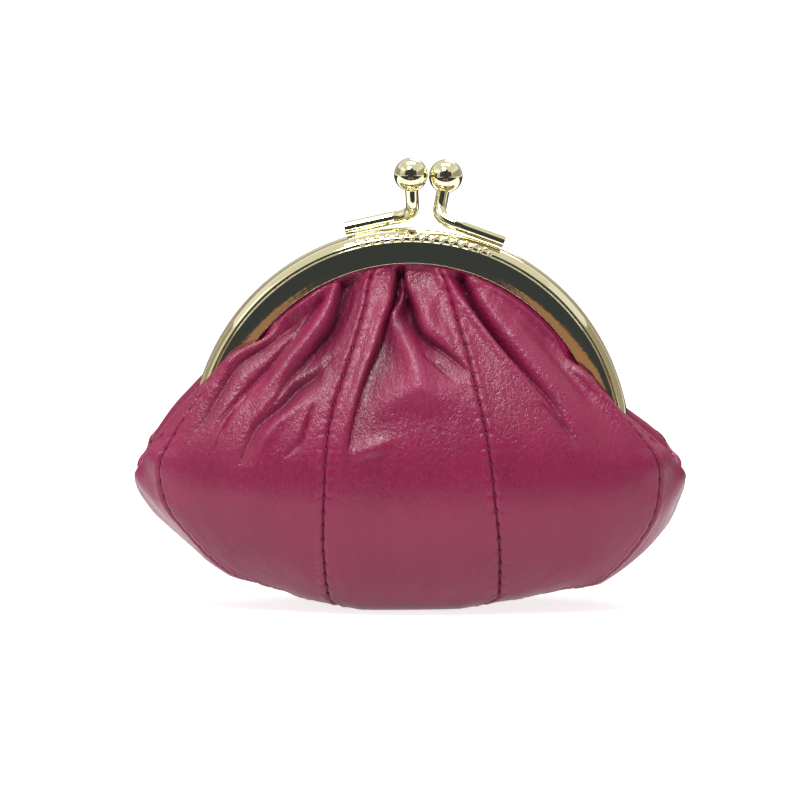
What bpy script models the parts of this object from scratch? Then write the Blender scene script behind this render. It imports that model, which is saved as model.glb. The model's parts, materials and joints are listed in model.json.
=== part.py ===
"""A kiss-lock coin purse: two hinged metal frame halves, two ball clasps and a gathered leather bag.

Metres, +Z up. The origin is on the surface that the purse stands on, below the middle of the bag.
The front of the purse faces -Y. Each leather panel, lining half and thread is its own solid.
"""

import math

import bmesh
import bpy
from mathutils import Matrix, Vector

# Frame: each half is a bent sheet-metal channel that opens towards the bag.
FRAME_RADIUS = 0.0440        # arch centre to the crown of the channel
HINGE_HEIGHT = 0.0318        # arch centre and hinge axis above the table
CHANNEL_DEPTH = 0.0064       # crown to the lip of the outer wall
INNER_WALL_DEPTH = 0.0058    # crown to the edge of the wall that meets the other half
CHANNEL_WIDTH = 0.0054       # outer face to mating face of one half
SHEET = 0.0006               # metal thickness
HALF_GAP = 0.0003            # slit between the two closed halves
BEVEL_DROP = 0.0018          # how far below the crown the rounded shoulder ends
GROOVE = 0.0002              # fine step between the shoulder and the flat outer face
CHANNEL_END_ANGLE = 5.0      # degrees above the hinge line where the channel stops
FRAME_TILT = 3.8             # degrees that the frame leans right on the soft bag
ARCH_STEPS = 34

# Hinge: a flat ear on each arch end, with a rivet through both ears.
EAR_RADIUS = 0.0030
EAR_SHEET = 0.0007
EAR_GAP = 0.0003
EAR_INSET = 0.0004           # the outer pair of ears lies this far inside the crown
NECK_HALF_WIDTH = 0.0034     # mating plane to the far edge of an ear's neck
RIVET_RADIUS = 0.0010
RIVET_HEAD_RADIUS = 0.0019
RIVET_HEAD_THICKNESS = 0.0008
PIN_CLEARANCE = 0.00008
HEAD_GAP = 0.0002

# Kiss lock: two bent rods that end in balls.
BALL_RADIUS = 0.00335
BALL_SPACING = 0.00695       # centre to centre across the purse
BALL_RISE = 0.0107           # ball centres above the crown of the arch
BALL_STAGGER = 0.0009        # each ball stands this far past the mating plane
ROD_RADIUS = 0.00130
ROD_SEAT_GAP = 0.0002
SOCKET_DEPTH = 0.0016
SOCKET_CLEARANCE = 0.00012
FOOT_ANGLE = 16.1            # degrees from the arch top where each rod is soldered
FOOT_TAIL = 0.0034           # rod beyond its solder point
FOOT_REACH = 0.0066          # rod from the solder point to the bend
NECK_DROP = 0.0062           # ball centre down to the end of the bend

# Leather bag, measured on the outside.
BELLY_HALF_LENGTH = 0.0550
BELLY_HALF_DEPTH = 0.0240
BELLY_HEIGHT = 0.0265
BASE_HALF_LENGTH = 0.0205
BASE_HALF_DEPTH = 0.0095
LEATHER = 0.0010
LINING = 0.0005
LAYER_GAP = 0.0003
LINING_GAP = 0.0007          # leather to lining
BELLY_POWER = 0.8            # below 1 the belly's oval is fuller at its ends
CENTRE_SEAM_BELLY = 12.8     # degrees round the belly, from the middle of the front
CENTRE_SEAM_ARCH = 10.0      # degrees round the arch, from its top
CENTRE_SEAM_BASE = 37.3      # degrees round the base's oval, so that the seam runs straight down
GUSSET_SEAM_BELLY = 61.0
GUSSET_SEAM_ARCH = 68.0
GUSSET_SEAM_BASE = 66.0
ARCH_FOOT_BELLY = 80.0       # the leather passes the end of the arch here
BELLY_BULGE = 0.06           # outward swell between the frame and the belly, as a share of its height
SIDE_OVERHANG = 0.0165       # how far the leather rolls out past the lip beside the hinge
LEFT_OVERHANG_POWER = 1.85   # how that roll grows down the arch
RIGHT_OVERHANG_POWER = 2.60  # the bag slumps a little to the right, so its right roll is lower
OVERHANG_START = 50.0        # degrees from the arch top where the roll begins
ROLL_DEPTH = 0.0045          # front to back size of that roll
UNDER_EAR_DROP = 0.0069      # hinge axis down to the fold of leather below the ear
FOLD_RISE = 0.0022           # the same fold climbs this far on its way out to the side
FRAME_CLEARANCE = 0.00035
LEATHER_INSERT = 0.0036      # leather held inside the channel
LEFT_FULLNESS = 0.30         # handle length of the curve below the belly, as a share
RIGHT_FULLNESS = 0.60
BASE_CURVE = 0.40            # the same for the curve's lower end
BASE_SLOPE = 0.15            # climb of the leather where it leaves the base

# Seams and packing.
SEAM_GAP = 0.0009
THREAD_RADIUS = 0.00015
CORD_RADIUS = 0.00055
CORD_GAP = 0.00025
LINING_END_ANGLE = 50.0      # degrees from the arch top where the lining leaves the channel
LINING_END_TURN = 5.0
LINING_DROP = 0.25           # how far down the curve under the belly its free edge lies

PANEL_COLUMNS = {"centre": 7, "side": 9, "gusset": 12}
LINING_COLUMNS = 32
LOWER_ROWS = 4
UPPER_ROWS = 4

COLOURS = {
    "gold": ((0.86, 0.77, 0.52), 1.0, 0.12),
    "leather": ((0.42, 0.045, 0.13), 0.0, 0.42),
    "lining": ((0.10, 0.03, 0.05), 0.0, 0.85),
    "thread": ((0.33, 0.03, 0.10), 0.0, 0.60),
    "paper": ((0.62, 0.52, 0.38), 0.0, 0.90),
}


def clear_scene():
    for obj in list(bpy.data.objects):
        bpy.data.objects.remove(obj)


def material(kind):
    found = bpy.data.materials.get(kind)
    if found:
        return found
    colour, metallic, roughness = COLOURS[kind]
    made = bpy.data.materials.new(kind)
    made.use_nodes = True
    shader = made.node_tree.nodes["Principled BSDF"]
    shader.inputs["Base Color"].default_value = (*colour, 1.0)
    shader.inputs["Metallic"].default_value = metallic
    shader.inputs["Roughness"].default_value = roughness
    return made


def add_object(name, data, kind, parent=None):
    obj = bpy.data.objects.new(name, data)
    bpy.context.scene.collection.objects.link(obj)
    obj.data.materials.append(material(kind))
    if parent:
        obj.parent = parent
    return obj


def mesh_object(name, bm, kind, parent=None):
    bmesh.ops.recalc_face_normals(bm, faces=bm.faces)
    mesh = bpy.data.meshes.new(name)
    bm.to_mesh(mesh)
    bm.free()
    mesh.shade_smooth()
    mesh.set_sharp_from_angle(angle=math.radians(40))
    return add_object(name, mesh, kind, parent)


def helper(name, bm):
    """A cutter or an added block for a Boolean, which isn't a piece of the purse."""
    obj = mesh_object(name, bm, "gold")
    obj.hide_render = True
    obj.display_type = "WIRE"
    return obj


def boolean(obj, other, operation):
    modifier = obj.modifiers.new(f"{operation.lower()} {other.name}", "BOOLEAN")
    modifier.operation = operation
    modifier.object = other


def block(size, centre):
    bm = bmesh.new()
    bmesh.ops.create_cube(bm, size=1.0)
    bmesh.ops.scale(bm, vec=Vector(size), verts=bm.verts)
    bmesh.ops.translate(bm, vec=Vector(centre), verts=bm.verts)
    return bm


def cylinder_along_x(radius, low_x, high_x, centre_z=0.0, sides=24):
    bm = bmesh.new()
    place = Matrix.Translation(((low_x + high_x) / 2, 0, centre_z)) @ Matrix.Rotation(math.pi / 2, 4, "Y")
    bmesh.ops.create_cone(
        bm, cap_ends=True, segments=sides, radius1=radius, radius2=radius, depth=high_x - low_x, matrix=place
    )
    return bm


def smoothstep(x):
    x = min(1.0, max(0.0, x))
    return x * x * (3 - 2 * x)


def lerp(a, b, share):
    return a + (b - a) * share


def tube(name, points, radius, kind, parent=None, bevel_resolution=2):
    curve = bpy.data.curves.new(name, "CURVE")
    curve.dimensions = "3D"
    curve.bevel_depth = radius
    curve.bevel_resolution = bevel_resolution
    curve.use_fill_caps = True
    spline = curve.splines.new("POLY")
    spline.points.add(len(points) - 1)
    for point, place in zip(spline.points, points):
        point.co = (*place, 1.0)
    return add_object(name, curve, kind, parent)


# Frame halves

def channel_profile():
    """Closed outline of one channel, as (depth below the crown, distance from the mating face)."""
    width, sheet = CHANNEL_WIDTH, SHEET
    crown_from, shoulder_to = 0.30 * width, BEVEL_DROP
    outer = [(INNER_WALL_DEPTH, 0.0), (0.16 * width, 0.0), (0.04 * width, 0.10 * width), (0.0, crown_from)]
    shoulder_steps = 5
    for step in range(1, shoulder_steps + 1):
        angle = math.pi / 2 * step / shoulder_steps
        drop = shoulder_to * (1 - math.cos(angle))
        out = crown_from + (width - GROOVE - crown_from) * math.sin(angle)
        outer.append((drop, out))
    outer.append((shoulder_to + GROOVE, width))
    outer.append((CHANNEL_DEPTH, width))
    inner = [
        (CHANNEL_DEPTH, width - sheet),
        (shoulder_to + sheet, width - sheet),
        (sheet + 0.25 * shoulder_to, 0.66 * width),
        (sheet, crown_from),
        (sheet + 0.10 * width, sheet),
        (INNER_WALL_DEPTH, sheet),
    ]
    return outer + inner


def arch_half(name, side, parent):
    """One channel bent round the arch. side is -1 for the front half and 1 for the rear half."""
    bm = bmesh.new()
    start = math.radians(CHANNEL_END_ANGLE)
    ring = []
    for depth, out in channel_profile():
        radius = FRAME_RADIUS - depth
        y = side * (HALF_GAP / 2 + out)
        ring.append(bm.verts.new((radius * math.cos(start), y, radius * math.sin(start))))
    face = bm.faces.new(ring)
    bmesh.ops.spin(
        bm, geom=[face, *face.edges, *face.verts], cent=(0, 0, 0), axis=(0, -1, 0),
        angle=math.pi - 2 * start, steps=ARCH_STEPS, use_duplicate=False,
    )
    bmesh.ops.remove_doubles(bm, verts=bm.verts, dist=1e-7)
    boundary = [edge for edge in bm.edges if len(edge.link_faces) == 1]
    if boundary:
        bmesh.ops.holes_fill(bm, edges=boundary, sides=0)
    return mesh_object(name, bm, "gold", parent)


def ear_plane(side):
    """Low and high |x| of an ear: the front half's ears are the outer pair."""
    high = FRAME_RADIUS - EAR_INSET
    if side > 0:
        high -= EAR_SHEET + EAR_GAP
    return high - EAR_SHEET, high


def ear(side, hand):
    """A rounded tab round the hinge axis with a neck up into the channel's end, as one outline."""
    low, high = ear_plane(side)
    channel_foot = FRAME_RADIUS * math.sin(math.radians(CHANNEL_END_ANGLE))
    neck_top = channel_foot + 3 * SHEET
    outline = [(side * NECK_HALF_WIDTH, neck_top), (side * NECK_HALF_WIDTH, channel_foot)]
    arc_steps = 14
    first, last = math.radians(165), math.radians(405)
    for step in range(arc_steps + 1):
        angle = lerp(first, last, step / arc_steps)
        outline.append((-side * EAR_RADIUS * math.cos(angle), EAR_RADIUS * math.sin(angle)))
    outline.append((side * (HALF_GAP / 2 + SHEET), channel_foot - SHEET))
    outline.append((side * (HALF_GAP / 2 + SHEET), neck_top))
    bm = bmesh.new()
    ring = [bm.verts.new((hand * low, y, z)) for y, z in outline]
    face = bm.faces.new(ring)
    pushed = bmesh.ops.extrude_face_region(bm, geom=[face])
    moved = [item for item in pushed["geom"] if isinstance(item, bmesh.types.BMVert)]
    bmesh.ops.translate(bm, vec=(hand * (high - low), 0, 0), verts=moved)
    return bm


def ear_joggle(side, hand):
    """The bend that carries an inner ear out to the channel's crown wall."""
    low, _ = ear_plane(side)
    channel_foot = FRAME_RADIUS * math.sin(math.radians(CHANNEL_END_ANGLE))
    high = FRAME_RADIUS - 1.15 * SHEET
    near, far = HALF_GAP / 2 + 0.8 * SHEET, NECK_HALF_WIDTH - 0.1 * SHEET
    size = (high - low, far - near, 3.4 * SHEET)
    return block(size, (hand * (low + high) / 2, side * (near + far) / 2, channel_foot + 1.4 * SHEET))


def frame_half(name, side, parent):
    obj = arch_half(name, side, parent)
    for hand, word in ((-1, "left"), (1, "right")):
        tab = helper(f"{name} {word} ear", ear(side, hand))
        tab.parent = parent
        boolean(obj, tab, "UNION")
        bend = helper(f"{name} {word} joggle", ear_joggle(side, hand))
        bend.parent = parent
        boolean(obj, bend, "UNION")
        reach = 2 * EAR_SHEET
        low, high = ear_plane(side)
        hole = cylinder_along_x(RIVET_RADIUS + PIN_CLEARANCE, low - reach, high + reach)
        bmesh.ops.translate(hole, vec=((hand - 1) * (low + high) / 2, 0, 0), verts=hole.verts)
        drill = helper(f"{name} {word} rivet hole", hole)
        drill.parent = parent
        boolean(obj, drill, "DIFFERENCE")
    return obj


def hinge_rivet(name, hand, parent):
    """A domed head outside, a shank through both ears, and a set head inside."""
    inner_face = ear_plane(1)[0] - HEAD_GAP
    outer_face = ear_plane(-1)[1] + HEAD_GAP
    thick, head, shank = RIVET_HEAD_THICKNESS, RIVET_HEAD_RADIUS, RIVET_RADIUS
    profile = [
        (0.0, outer_face + thick),
        (0.55 * head, outer_face + 0.85 * thick),
        (0.90 * head, outer_face + 0.45 * thick),
        (head, outer_face),
        (shank, outer_face),
        (shank, inner_face),
        (head, inner_face),
        (0.90 * head, inner_face - 0.45 * thick),
        (0.0, inner_face - 0.75 * thick),
    ]
    bm = bmesh.new()
    ring = [bm.verts.new((x, 0, radius)) for radius, x in profile]
    edges = [bm.edges.new(pair) for pair in zip(ring, ring[1:])]
    bmesh.ops.spin(bm, geom=[*ring, *edges], cent=(0, 0, 0), axis=(1, 0, 0), angle=2 * math.pi, steps=20)
    bmesh.ops.remove_doubles(bm, verts=bm.verts, dist=1e-7)
    if hand < 0:
        bmesh.ops.rotate(bm, verts=bm.verts, cent=(0, 0, 0), matrix=Matrix.Rotation(math.pi, 3, "Z"))
    return mesh_object(name, bm, "gold", parent)


# Kiss lock

def clasp_shape(side):
    """Ball centre, and the rod's line from its tail to inside the ball, from the hinge axis."""
    hand = 1 if side < 0 else -1
    angle = hand * math.radians(FOOT_ANGLE)
    ball = Vector((hand * BALL_SPACING / 2, -side * BALL_STAGGER, FRAME_RADIUS + BALL_RISE))
    foot_y = side * (HALF_GAP / 2 + 0.45 * CHANNEL_WIDTH)
    out = Vector((math.sin(angle), 0, math.cos(angle)))
    along = Vector((-hand * math.cos(angle), 0, hand * math.sin(angle)))
    seat = out * (FRAME_RADIUS + ROD_SEAT_GAP + ROD_RADIUS) + Vector((0, foot_y, 0))
    tail = seat - along * FOOT_TAIL
    knee = seat + along * FOOT_REACH
    neck = ball + Vector((-hand * 0.12 * NECK_DROP, -0.35 * (ball.y - foot_y), -NECK_DROP))
    line = [tail, lerp(tail, seat, 0.5), seat, lerp(seat, knee, 0.5), knee]
    bend_steps = 6
    corner = Vector((neck.x - hand * 0.25 * ROD_RADIUS, lerp(knee.y, neck.y, 0.4), knee.z + 0.6 * ROD_RADIUS))
    for step in range(1, bend_steps + 1):
        share = step / bend_steps
        line.append(lerp(lerp(knee, corner, share), lerp(corner, neck, share), share))
    top = ball + (neck - ball).normalized() * (BALL_RADIUS - SOCKET_DEPTH)
    line.append(lerp(neck, top, 0.5))
    line.append(top)
    return ball, line


def clasp(side, word, parent):
    ball_centre, line = clasp_shape(side)
    tube(f"{word}_clasp_arm", line, ROD_RADIUS, "gold", parent, bevel_resolution=4)
    bm = bmesh.new()
    bmesh.ops.create_uvsphere(bm, u_segments=24, v_segments=14, radius=BALL_RADIUS)
    bmesh.ops.translate(bm, vec=ball_centre, verts=bm.verts)
    ball = mesh_object(f"{word}_clasp_ball", bm, "gold", parent)
    axis = (line[-2] - ball_centre).normalized()
    socket_top = ball_centre + axis * (BALL_RADIUS - SOCKET_DEPTH - SOCKET_CLEARANCE)
    socket_length = 2 * SOCKET_DEPTH
    turn = axis.to_track_quat("Z", "Y").to_matrix().to_4x4()
    cutter = bmesh.new()
    bmesh.ops.create_cone(
        cutter, cap_ends=True, segments=20, depth=socket_length,
        radius1=ROD_RADIUS + SOCKET_CLEARANCE, radius2=ROD_RADIUS + SOCKET_CLEARANCE,
        matrix=Matrix.Translation(socket_top + axis * socket_length / 2) @ turn,
    )
    socket = helper(f"{word} ball socket", cutter)
    socket.parent = parent
    boolean(ball, socket, "DIFFERENCE")


# Leather bag

def between_knots(knots, belly_angle):
    """The value at this angle of a line through knots, which is the same on both sides of the middle."""
    size = abs(belly_angle)
    for (a, low), (b, high) in zip(knots, knots[1:]):
        if size <= b:
            return math.copysign(lerp(low, high, (size - a) / (b - a)), belly_angle)
    return math.copysign(knots[-1][1], belly_angle)


def arch_angle(belly_angle):
    """Degrees round the arch, from its top, of the leather that reaches the belly at this angle."""
    knots = (
        (0.0, 0.0),
        (CENTRE_SEAM_BELLY, CENTRE_SEAM_ARCH),
        (GUSSET_SEAM_BELLY, GUSSET_SEAM_ARCH),
        (ARCH_FOOT_BELLY, 90.0),
        (90.0, 90.0),
    )
    return between_knots(knots, belly_angle)


def round_oval(angle):
    """Shares of an oval's half-length and half-depth at an angle from the middle of the front."""
    turn = math.radians(angle)
    return math.copysign(abs(math.sin(turn)) ** BELLY_POWER, turn), abs(math.cos(turn)) ** BELLY_POWER


def base_shares(belly_angle):
    """Shares of the base's half-length and half-depth where the leather of that angle meets it."""
    corner = round_oval(GUSSET_SEAM_BASE)[0]
    knots = (
        (0.0, 0.0),
        (CENTRE_SEAM_BELLY, round_oval(CENTRE_SEAM_BASE)[0]),
        (GUSSET_SEAM_BELLY, corner),
        (90.0, corner),
    )
    across = between_knots(knots, belly_angle)
    forward = (1 - abs(across) ** (2 / BELLY_POWER)) ** (BELLY_POWER / 2)
    past_seam = max(0.0, (abs(belly_angle) - GUSSET_SEAM_BELLY) / (90.0 - GUSSET_SEAM_BELLY))
    return across, forward * (1 - past_seam)


def held_face():
    """Distance from the mating plane to the leather's outer face inside the channel."""
    return HALF_GAP / 2 + CHANNEL_WIDTH - SHEET - LAYER_GAP


def frame_point(belly_angle, radius, forward):
    """A point given by its distance from the arch centre and its distance in front of the frame."""
    around = math.radians(arch_angle(belly_angle))
    return Vector((radius * math.sin(around), -forward, HINGE_HEIGHT + radius * math.cos(around)))


def below_ear(hand, point, row):
    """Where a station of the last column beside the frame ends up on the fold below the ear."""
    lip = FRAME_RADIUS - CHANNEL_DEPTH
    out = (point.x * hand - lip) / SIDE_OVERHANG
    rise = (0.8, 0.65, 0.1, 0.0, 0.7, 1.0)[row] * FOLD_RISE
    reach = (out, out, out, out, 0.84, 1.01)[row]
    return Vector((hand * (lip + reach * SIDE_OVERHANG), 0, HINGE_HEIGHT - UNDER_EAR_DROP + rise))


def top_stations(belly_angle, inset):
    """The leather from inside the channel, out under the lip, and over the roll at the sides."""
    lip = FRAME_RADIUS - CHANNEL_DEPTH
    held = held_face() - inset
    under = HALF_GAP / 2 + CHANNEL_WIDTH + FRAME_CLEARANCE
    around = abs(arch_angle(belly_angle))
    leaving = smoothstep((around - 74.0) / 8.0)
    insert = lerp(LEATHER_INSERT, 0.10 * LEATHER_INSERT, leaving)
    lean = 0.3 if inset else 1.0
    straight = [
        (lip + insert, held),
        (lip, held),
        (lip - 0.0010, held + 0.0002 * lean),
        (lip - 0.0020, held + 0.0006 * lean),
        (lip - 0.0031, held + 0.0012 * lean),
        (lip - 0.0043, held + 0.0019 * lean),
    ]
    if inset:
        return [frame_point(belly_angle, radius, forward) for radius, forward in straight]
    down_arch = max(0.0, around - OVERHANG_START) / (90.0 - OVERHANG_START)
    reach = SIDE_OVERHANG * down_arch ** (LEFT_OVERHANG_POWER if belly_angle < 0 else RIGHT_OVERHANG_POWER)
    roll = [
        straight[0],
        straight[1],
        (lip - 0.0018, under - 0.0004),
        (lip - 0.0002 + 0.30 * reach, under + 0.0004),
        (lip + reach, under + 0.45 * ROLL_DEPTH),
        (lip + 0.80 * reach, under + ROLL_DEPTH),
    ]
    roll_share = smoothstep(2.6 * down_arch)
    past = max(0.0, (abs(belly_angle) - ARCH_FOOT_BELLY) / (90.0 - ARCH_FOOT_BELLY))
    swing = math.radians(90.0 * past)
    hand = math.copysign(1.0, belly_angle)
    stations = []
    for row, ((r_a, d_a), (r_b, d_b)) in enumerate(zip(straight, roll)):
        point = frame_point(belly_angle, lerp(r_a, r_b, roll_share), lerp(d_a, d_b, roll_share))
        end = below_ear(hand, point, row)
        x = lerp(point.x, end.x, smoothstep(past))
        stations.append(Vector((x, point.y * math.cos(swing), lerp(point.z, end.z, math.sin(swing)))))
    return stations


def bezier(a, b, c, d, share):
    left = 1 - share
    return a * left**3 + b * (3 * left**2 * share) + c * (3 * left * share**2) + d * share**3


def base_corner():
    """Half-length of the flat base along the front and rear walls, where the gusset seam ends."""
    return BASE_HALF_LENGTH * round_oval(GUSSET_SEAM_BASE)[0]


def wall_stations(belly_angle, inset=0.0):
    """Points of the front half's surface, from inside the channel to the base. The rear is its mirror."""
    across, forward = round_oval(belly_angle)
    base_across, base_forward = base_shares(belly_angle)
    stations = top_stations(belly_angle, inset)
    start = stations[-1]
    belly = Vector(((BELLY_HALF_LENGTH - inset) * across, -(BELLY_HALF_DEPTH - inset) * forward, BELLY_HEIGHT))
    base_x = BASE_HALF_LENGTH * base_across
    if abs(belly_angle) > GUSSET_SEAM_BELLY:
        base_x = math.copysign(base_corner() + SEAM_GAP / 2 - 0.5 * inset, across)
    base = Vector((base_x, -(BASE_HALF_DEPTH - 0.5 * inset) * base_forward, inset))
    fall = start - belly
    outward = Vector((across, -forward, 0)).normalized()
    bulge = 0.0 if inset else BELLY_BULGE
    first = lerp(start, belly, 1 / 3) + outward * bulge * fall.length
    second = belly + Vector((0, 0, fall.z / 3))
    for row in range(1, UPPER_ROWS + 1):
        stations.append(bezier(start, first, second, belly, row / UPPER_ROWS))
    reach = base - belly
    fullness = lerp(LEFT_FULLNESS, RIGHT_FULLNESS, smoothstep(0.5 + 0.5 * across))
    third = belly + Vector((0, 0, fullness * reach.z))
    level = Vector((reach.x, reach.y, 0))
    fourth = base - BASE_CURVE * level + Vector((0, 0, BASE_CURVE * BASE_SLOPE * level.length))
    drop = 0.0
    if inset:
        around = abs(arch_angle(belly_angle))
        shortened = smoothstep((around - LINING_END_ANGLE) / LINING_END_TURN)
        lowered = smoothstep((around - LINING_END_ANGLE - LINING_END_TURN) / (1.6 * LINING_END_TURN))
        drop = LINING_DROP * lowered
        edge = bezier(belly, third, fourth, base, drop)
        for row, point in enumerate(stations):
            up = Vector((0, 0, 0.3 * LINING * (len(stations) - row)))
            if row < 5:
                point = lerp(point, start + 0.5 * up, shortened)
            stations[row] = lerp(point, edge + up, lowered)
    for row in range(1, LOWER_ROWS + 1):
        stations.append(bezier(belly, third, fourth, base, lerp(drop, 1.0, row / LOWER_ROWS)))
    return stations


def across_step(belly_angle, inset):
    """Unit step round the bag at each station of a column."""
    step = 0.4
    low, high = wall_stations(belly_angle - step, inset), wall_stations(belly_angle + step, inset)
    if abs(belly_angle) >= 90.0:
        return [Vector((0, math.copysign(1.0, belly_angle), 0)) for _ in low]
    return [(after - before).normalized() for before, after in zip(low, high)]


def column(belly_angle, inset=0.0, shift=0.0, base_seam=False):
    """A column of the surface and the direction into the bag at each of its points.

    shift moves the column round the bag, which leaves the seam gap between two panels.
    """
    points = wall_stations(belly_angle, inset)
    round_bag = across_step(belly_angle, inset)
    inward, edge = [], []
    last = len(points) - 1
    for row, point in enumerate(points):
        down = (points[min(row + 1, last)] - points[max(row - 1, 0)]).normalized()
        inward.append(round_bag[row].cross(down).normalized())
        edge.append(point + down.cross(inward[-1]) * shift)
    edge[-1].z = inset
    points = edge
    on_gusset_seam = abs(abs(belly_angle) - GUSSET_SEAM_BELLY) < 1e-6
    if on_gusset_seam:
        points[-1].x = math.copysign(base_corner(), belly_angle) + shift
    if base_seam or on_gusset_seam:
        inward[-1] = lerp(inward[-1], Vector((0, 0, 1)), 0.6).normalized()
    if base_seam:
        points.append(Vector((points[-1].x, -SEAM_GAP / 2, points[-1].z)))
        inward.append(Vector((0, 0, 1)))
    return [points, inward]


def turned(columns, side):
    """Columns of the front half as they are, or mirrored to the rear half in the opposite order."""
    if side < 0:
        return columns
    return [[[Vector((v.x, -v.y, v.z)) for v in group] for group in pair] for pair in columns[::-1]]


def skin(name, columns, thickness, kind):
    """A closed sheet of even thickness through columns of points and their inward directions."""
    bm = bmesh.new()
    outer = [[bm.verts.new(point) for point in points] for points, _ in columns]
    inner = [
        [bm.verts.new(point + direction * thickness) for point, direction in zip(points, inward)]
        for points, inward in columns
    ]
    for left, right in zip(range(len(columns)), range(1, len(columns))):
        for row in range(len(outer[0]) - 1):
            bm.faces.new((outer[left][row], outer[left][row + 1], outer[right][row + 1], outer[right][row]))
            bm.faces.new((inner[left][row], inner[right][row], inner[right][row + 1], inner[left][row + 1]))
    for end, row in ((True, 0), (False, -1)):
        for left, right in zip(range(len(columns)), range(1, len(columns))):
            rim = [outer[left][row], outer[right][row], inner[right][row], inner[left][row]]
            bm.faces.new(rim if end else rim[::-1])
    for end, side in ((False, 0), (True, -1)):
        for row in range(len(outer[0]) - 1):
            rim = [outer[side][row], outer[side][row + 1], inner[side][row + 1], inner[side][row]]
            bm.faces.new(rim if end else rim[::-1])
    return mesh_object(name, bm, kind)


def turned_to_side(point, side):
    """A front point as it is, or mirrored to the rear half."""
    return Vector((point.x, -side * point.y, point.z))


def wall_columns(low, high, count, inset=0.0):
    """Columns of the front wall between two seams, down to the seam under the base."""
    made = [column(low, inset, SEAM_GAP / 2, True)]
    for step in range(1, count):
        made.append(column(lerp(low, high, step / count), inset, 0.0, True))
    made.append(column(high, inset, -SEAM_GAP / 2, True))
    return made


def wall_panels(side, word):
    spans = {
        "left": (-GUSSET_SEAM_BELLY, -CENTRE_SEAM_BELLY, "side"),
        "centre": (-CENTRE_SEAM_BELLY, CENTRE_SEAM_BELLY, "centre"),
        "right": (CENTRE_SEAM_BELLY, GUSSET_SEAM_BELLY, "side"),
    }
    for place, (low, high, kind) in spans.items():
        columns = wall_columns(low, high, PANEL_COLUMNS[kind])
        skin(f"{word}_{place}_panel", turned(columns, side), LEATHER, "leather")


def gusset_panel(hand, word):
    """The side panel, from the front seam round the bag's end to the rear seam."""
    half = PANEL_COLUMNS["gusset"] // 2
    front = [column(hand * GUSSET_SEAM_BELLY, shift=hand * SEAM_GAP / 2)]
    front += [column(hand * lerp(GUSSET_SEAM_BELLY, 90.0, step / half)) for step in range(1, half + 1)]
    skin(f"{word}_gusset", front + turned(front[:-1], 1), LEATHER, "leather")


def lining(side, word):
    columns = wall_columns(-90.0, 90.0, LINING_COLUMNS, LEATHER + LINING_GAP)
    skin(f"{word}_lining", turned(columns, side), LINING, "lining")


def seam_line(belly_angle):
    """Points at half the leather's thickness, along a seam from the channel to the base."""
    points, inward = column(belly_angle)
    return [point + direction * (LEATHER / 2) for point, direction in zip(points, inward)]


def wall_thread(side, word, place, hand):
    """Thread between the centre panel and a side panel, from the channel to the base seam."""
    line = seam_line(hand * CENTRE_SEAM_BELLY)
    line.append(Vector((line[-1].x, -SEAM_GAP, LEATHER / 2)))
    line = [turned_to_side(point, side) for point in line]
    tube(f"{word}_{place}_seam_thread", line, THREAD_RADIUS, "thread", bevel_resolution=1)


def gusset_thread(hand, word):
    """Thread round a gusset: down the front seam, across the base and up the rear seam."""
    down = seam_line(hand * GUSSET_SEAM_BELLY)
    down[-1].z = LEATHER / 2
    up = [turned_to_side(point, 1) for point in reversed(down)]
    tube(f"{word}_gusset_thread", down + up, THREAD_RADIUS, "thread", bevel_resolution=1)


def base_thread():
    """Thread under the bag, where the front and rear walls meet."""
    reach = base_corner() - 1.6 * SEAM_GAP
    steps = 8
    line = [Vector((lerp(-reach, reach, step / steps), 0, LEATHER / 2)) for step in range(steps + 1)]
    tube("base_seam_thread", line, THREAD_RADIUS, "thread", bevel_resolution=1)


def paper_cord(side, word, parent):
    """The packing cord that wedges the leather and lining into the channel."""
    radius = FRAME_RADIUS - CHANNEL_DEPTH + 0.45 * LEATHER_INSERT
    y = side * (HALF_GAP / 2 + SHEET + CORD_GAP + CORD_RADIUS)
    end = CHANNEL_END_ANGLE + 6.0
    steps = 26
    line = []
    for step in range(steps + 1):
        angle = math.radians(lerp(end, 180.0 - end, step / steps))
        line.append(Vector((radius * math.cos(angle), y, radius * math.sin(angle))))
    tube(f"{word}_paper_cord", line, CORD_RADIUS, "paper", parent, bevel_resolution=1)


def hinge_empty(name):
    empty = bpy.data.objects.new(name, None)
    empty.location = (0, 0, HINGE_HEIGHT)
    empty.rotation_euler = (0, math.radians(FRAME_TILT), 0)
    bpy.context.scene.collection.objects.link(empty)
    return empty


def build():
    clear_scene()
    for side, word in ((-1, "front"), (1, "rear")):
        pivot = hinge_empty(f"{word} hinge")
        frame_half(f"{word}_frame", side, pivot)
        clasp(side, word, pivot)
        paper_cord(side, word, pivot)
        wall_panels(side, word)
        lining(side, word)
        for place, hand in (("left", -1), ("right", 1)):
            wall_thread(side, word, place, hand)
    axis = hinge_empty("hinge axis")
    for hand, word in ((-1, "left"), (1, "right")):
        hinge_rivet(f"{word}_hinge_rivet", hand, axis)
        gusset_panel(hand, word)
        gusset_thread(hand, word)
    base_thread()


build()
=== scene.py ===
"""A kiss-lock coin purse: the looks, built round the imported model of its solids.

The metal frame, kiss lock and rivets are modelled again with smooth curves. Each leather panel is a fine
grid laid on the bag's own surface and pushed in and out by the folds, gathers and seams that it has.
The leather is worked out in millimetres and becomes metres when its mesh is filled.
"""

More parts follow.
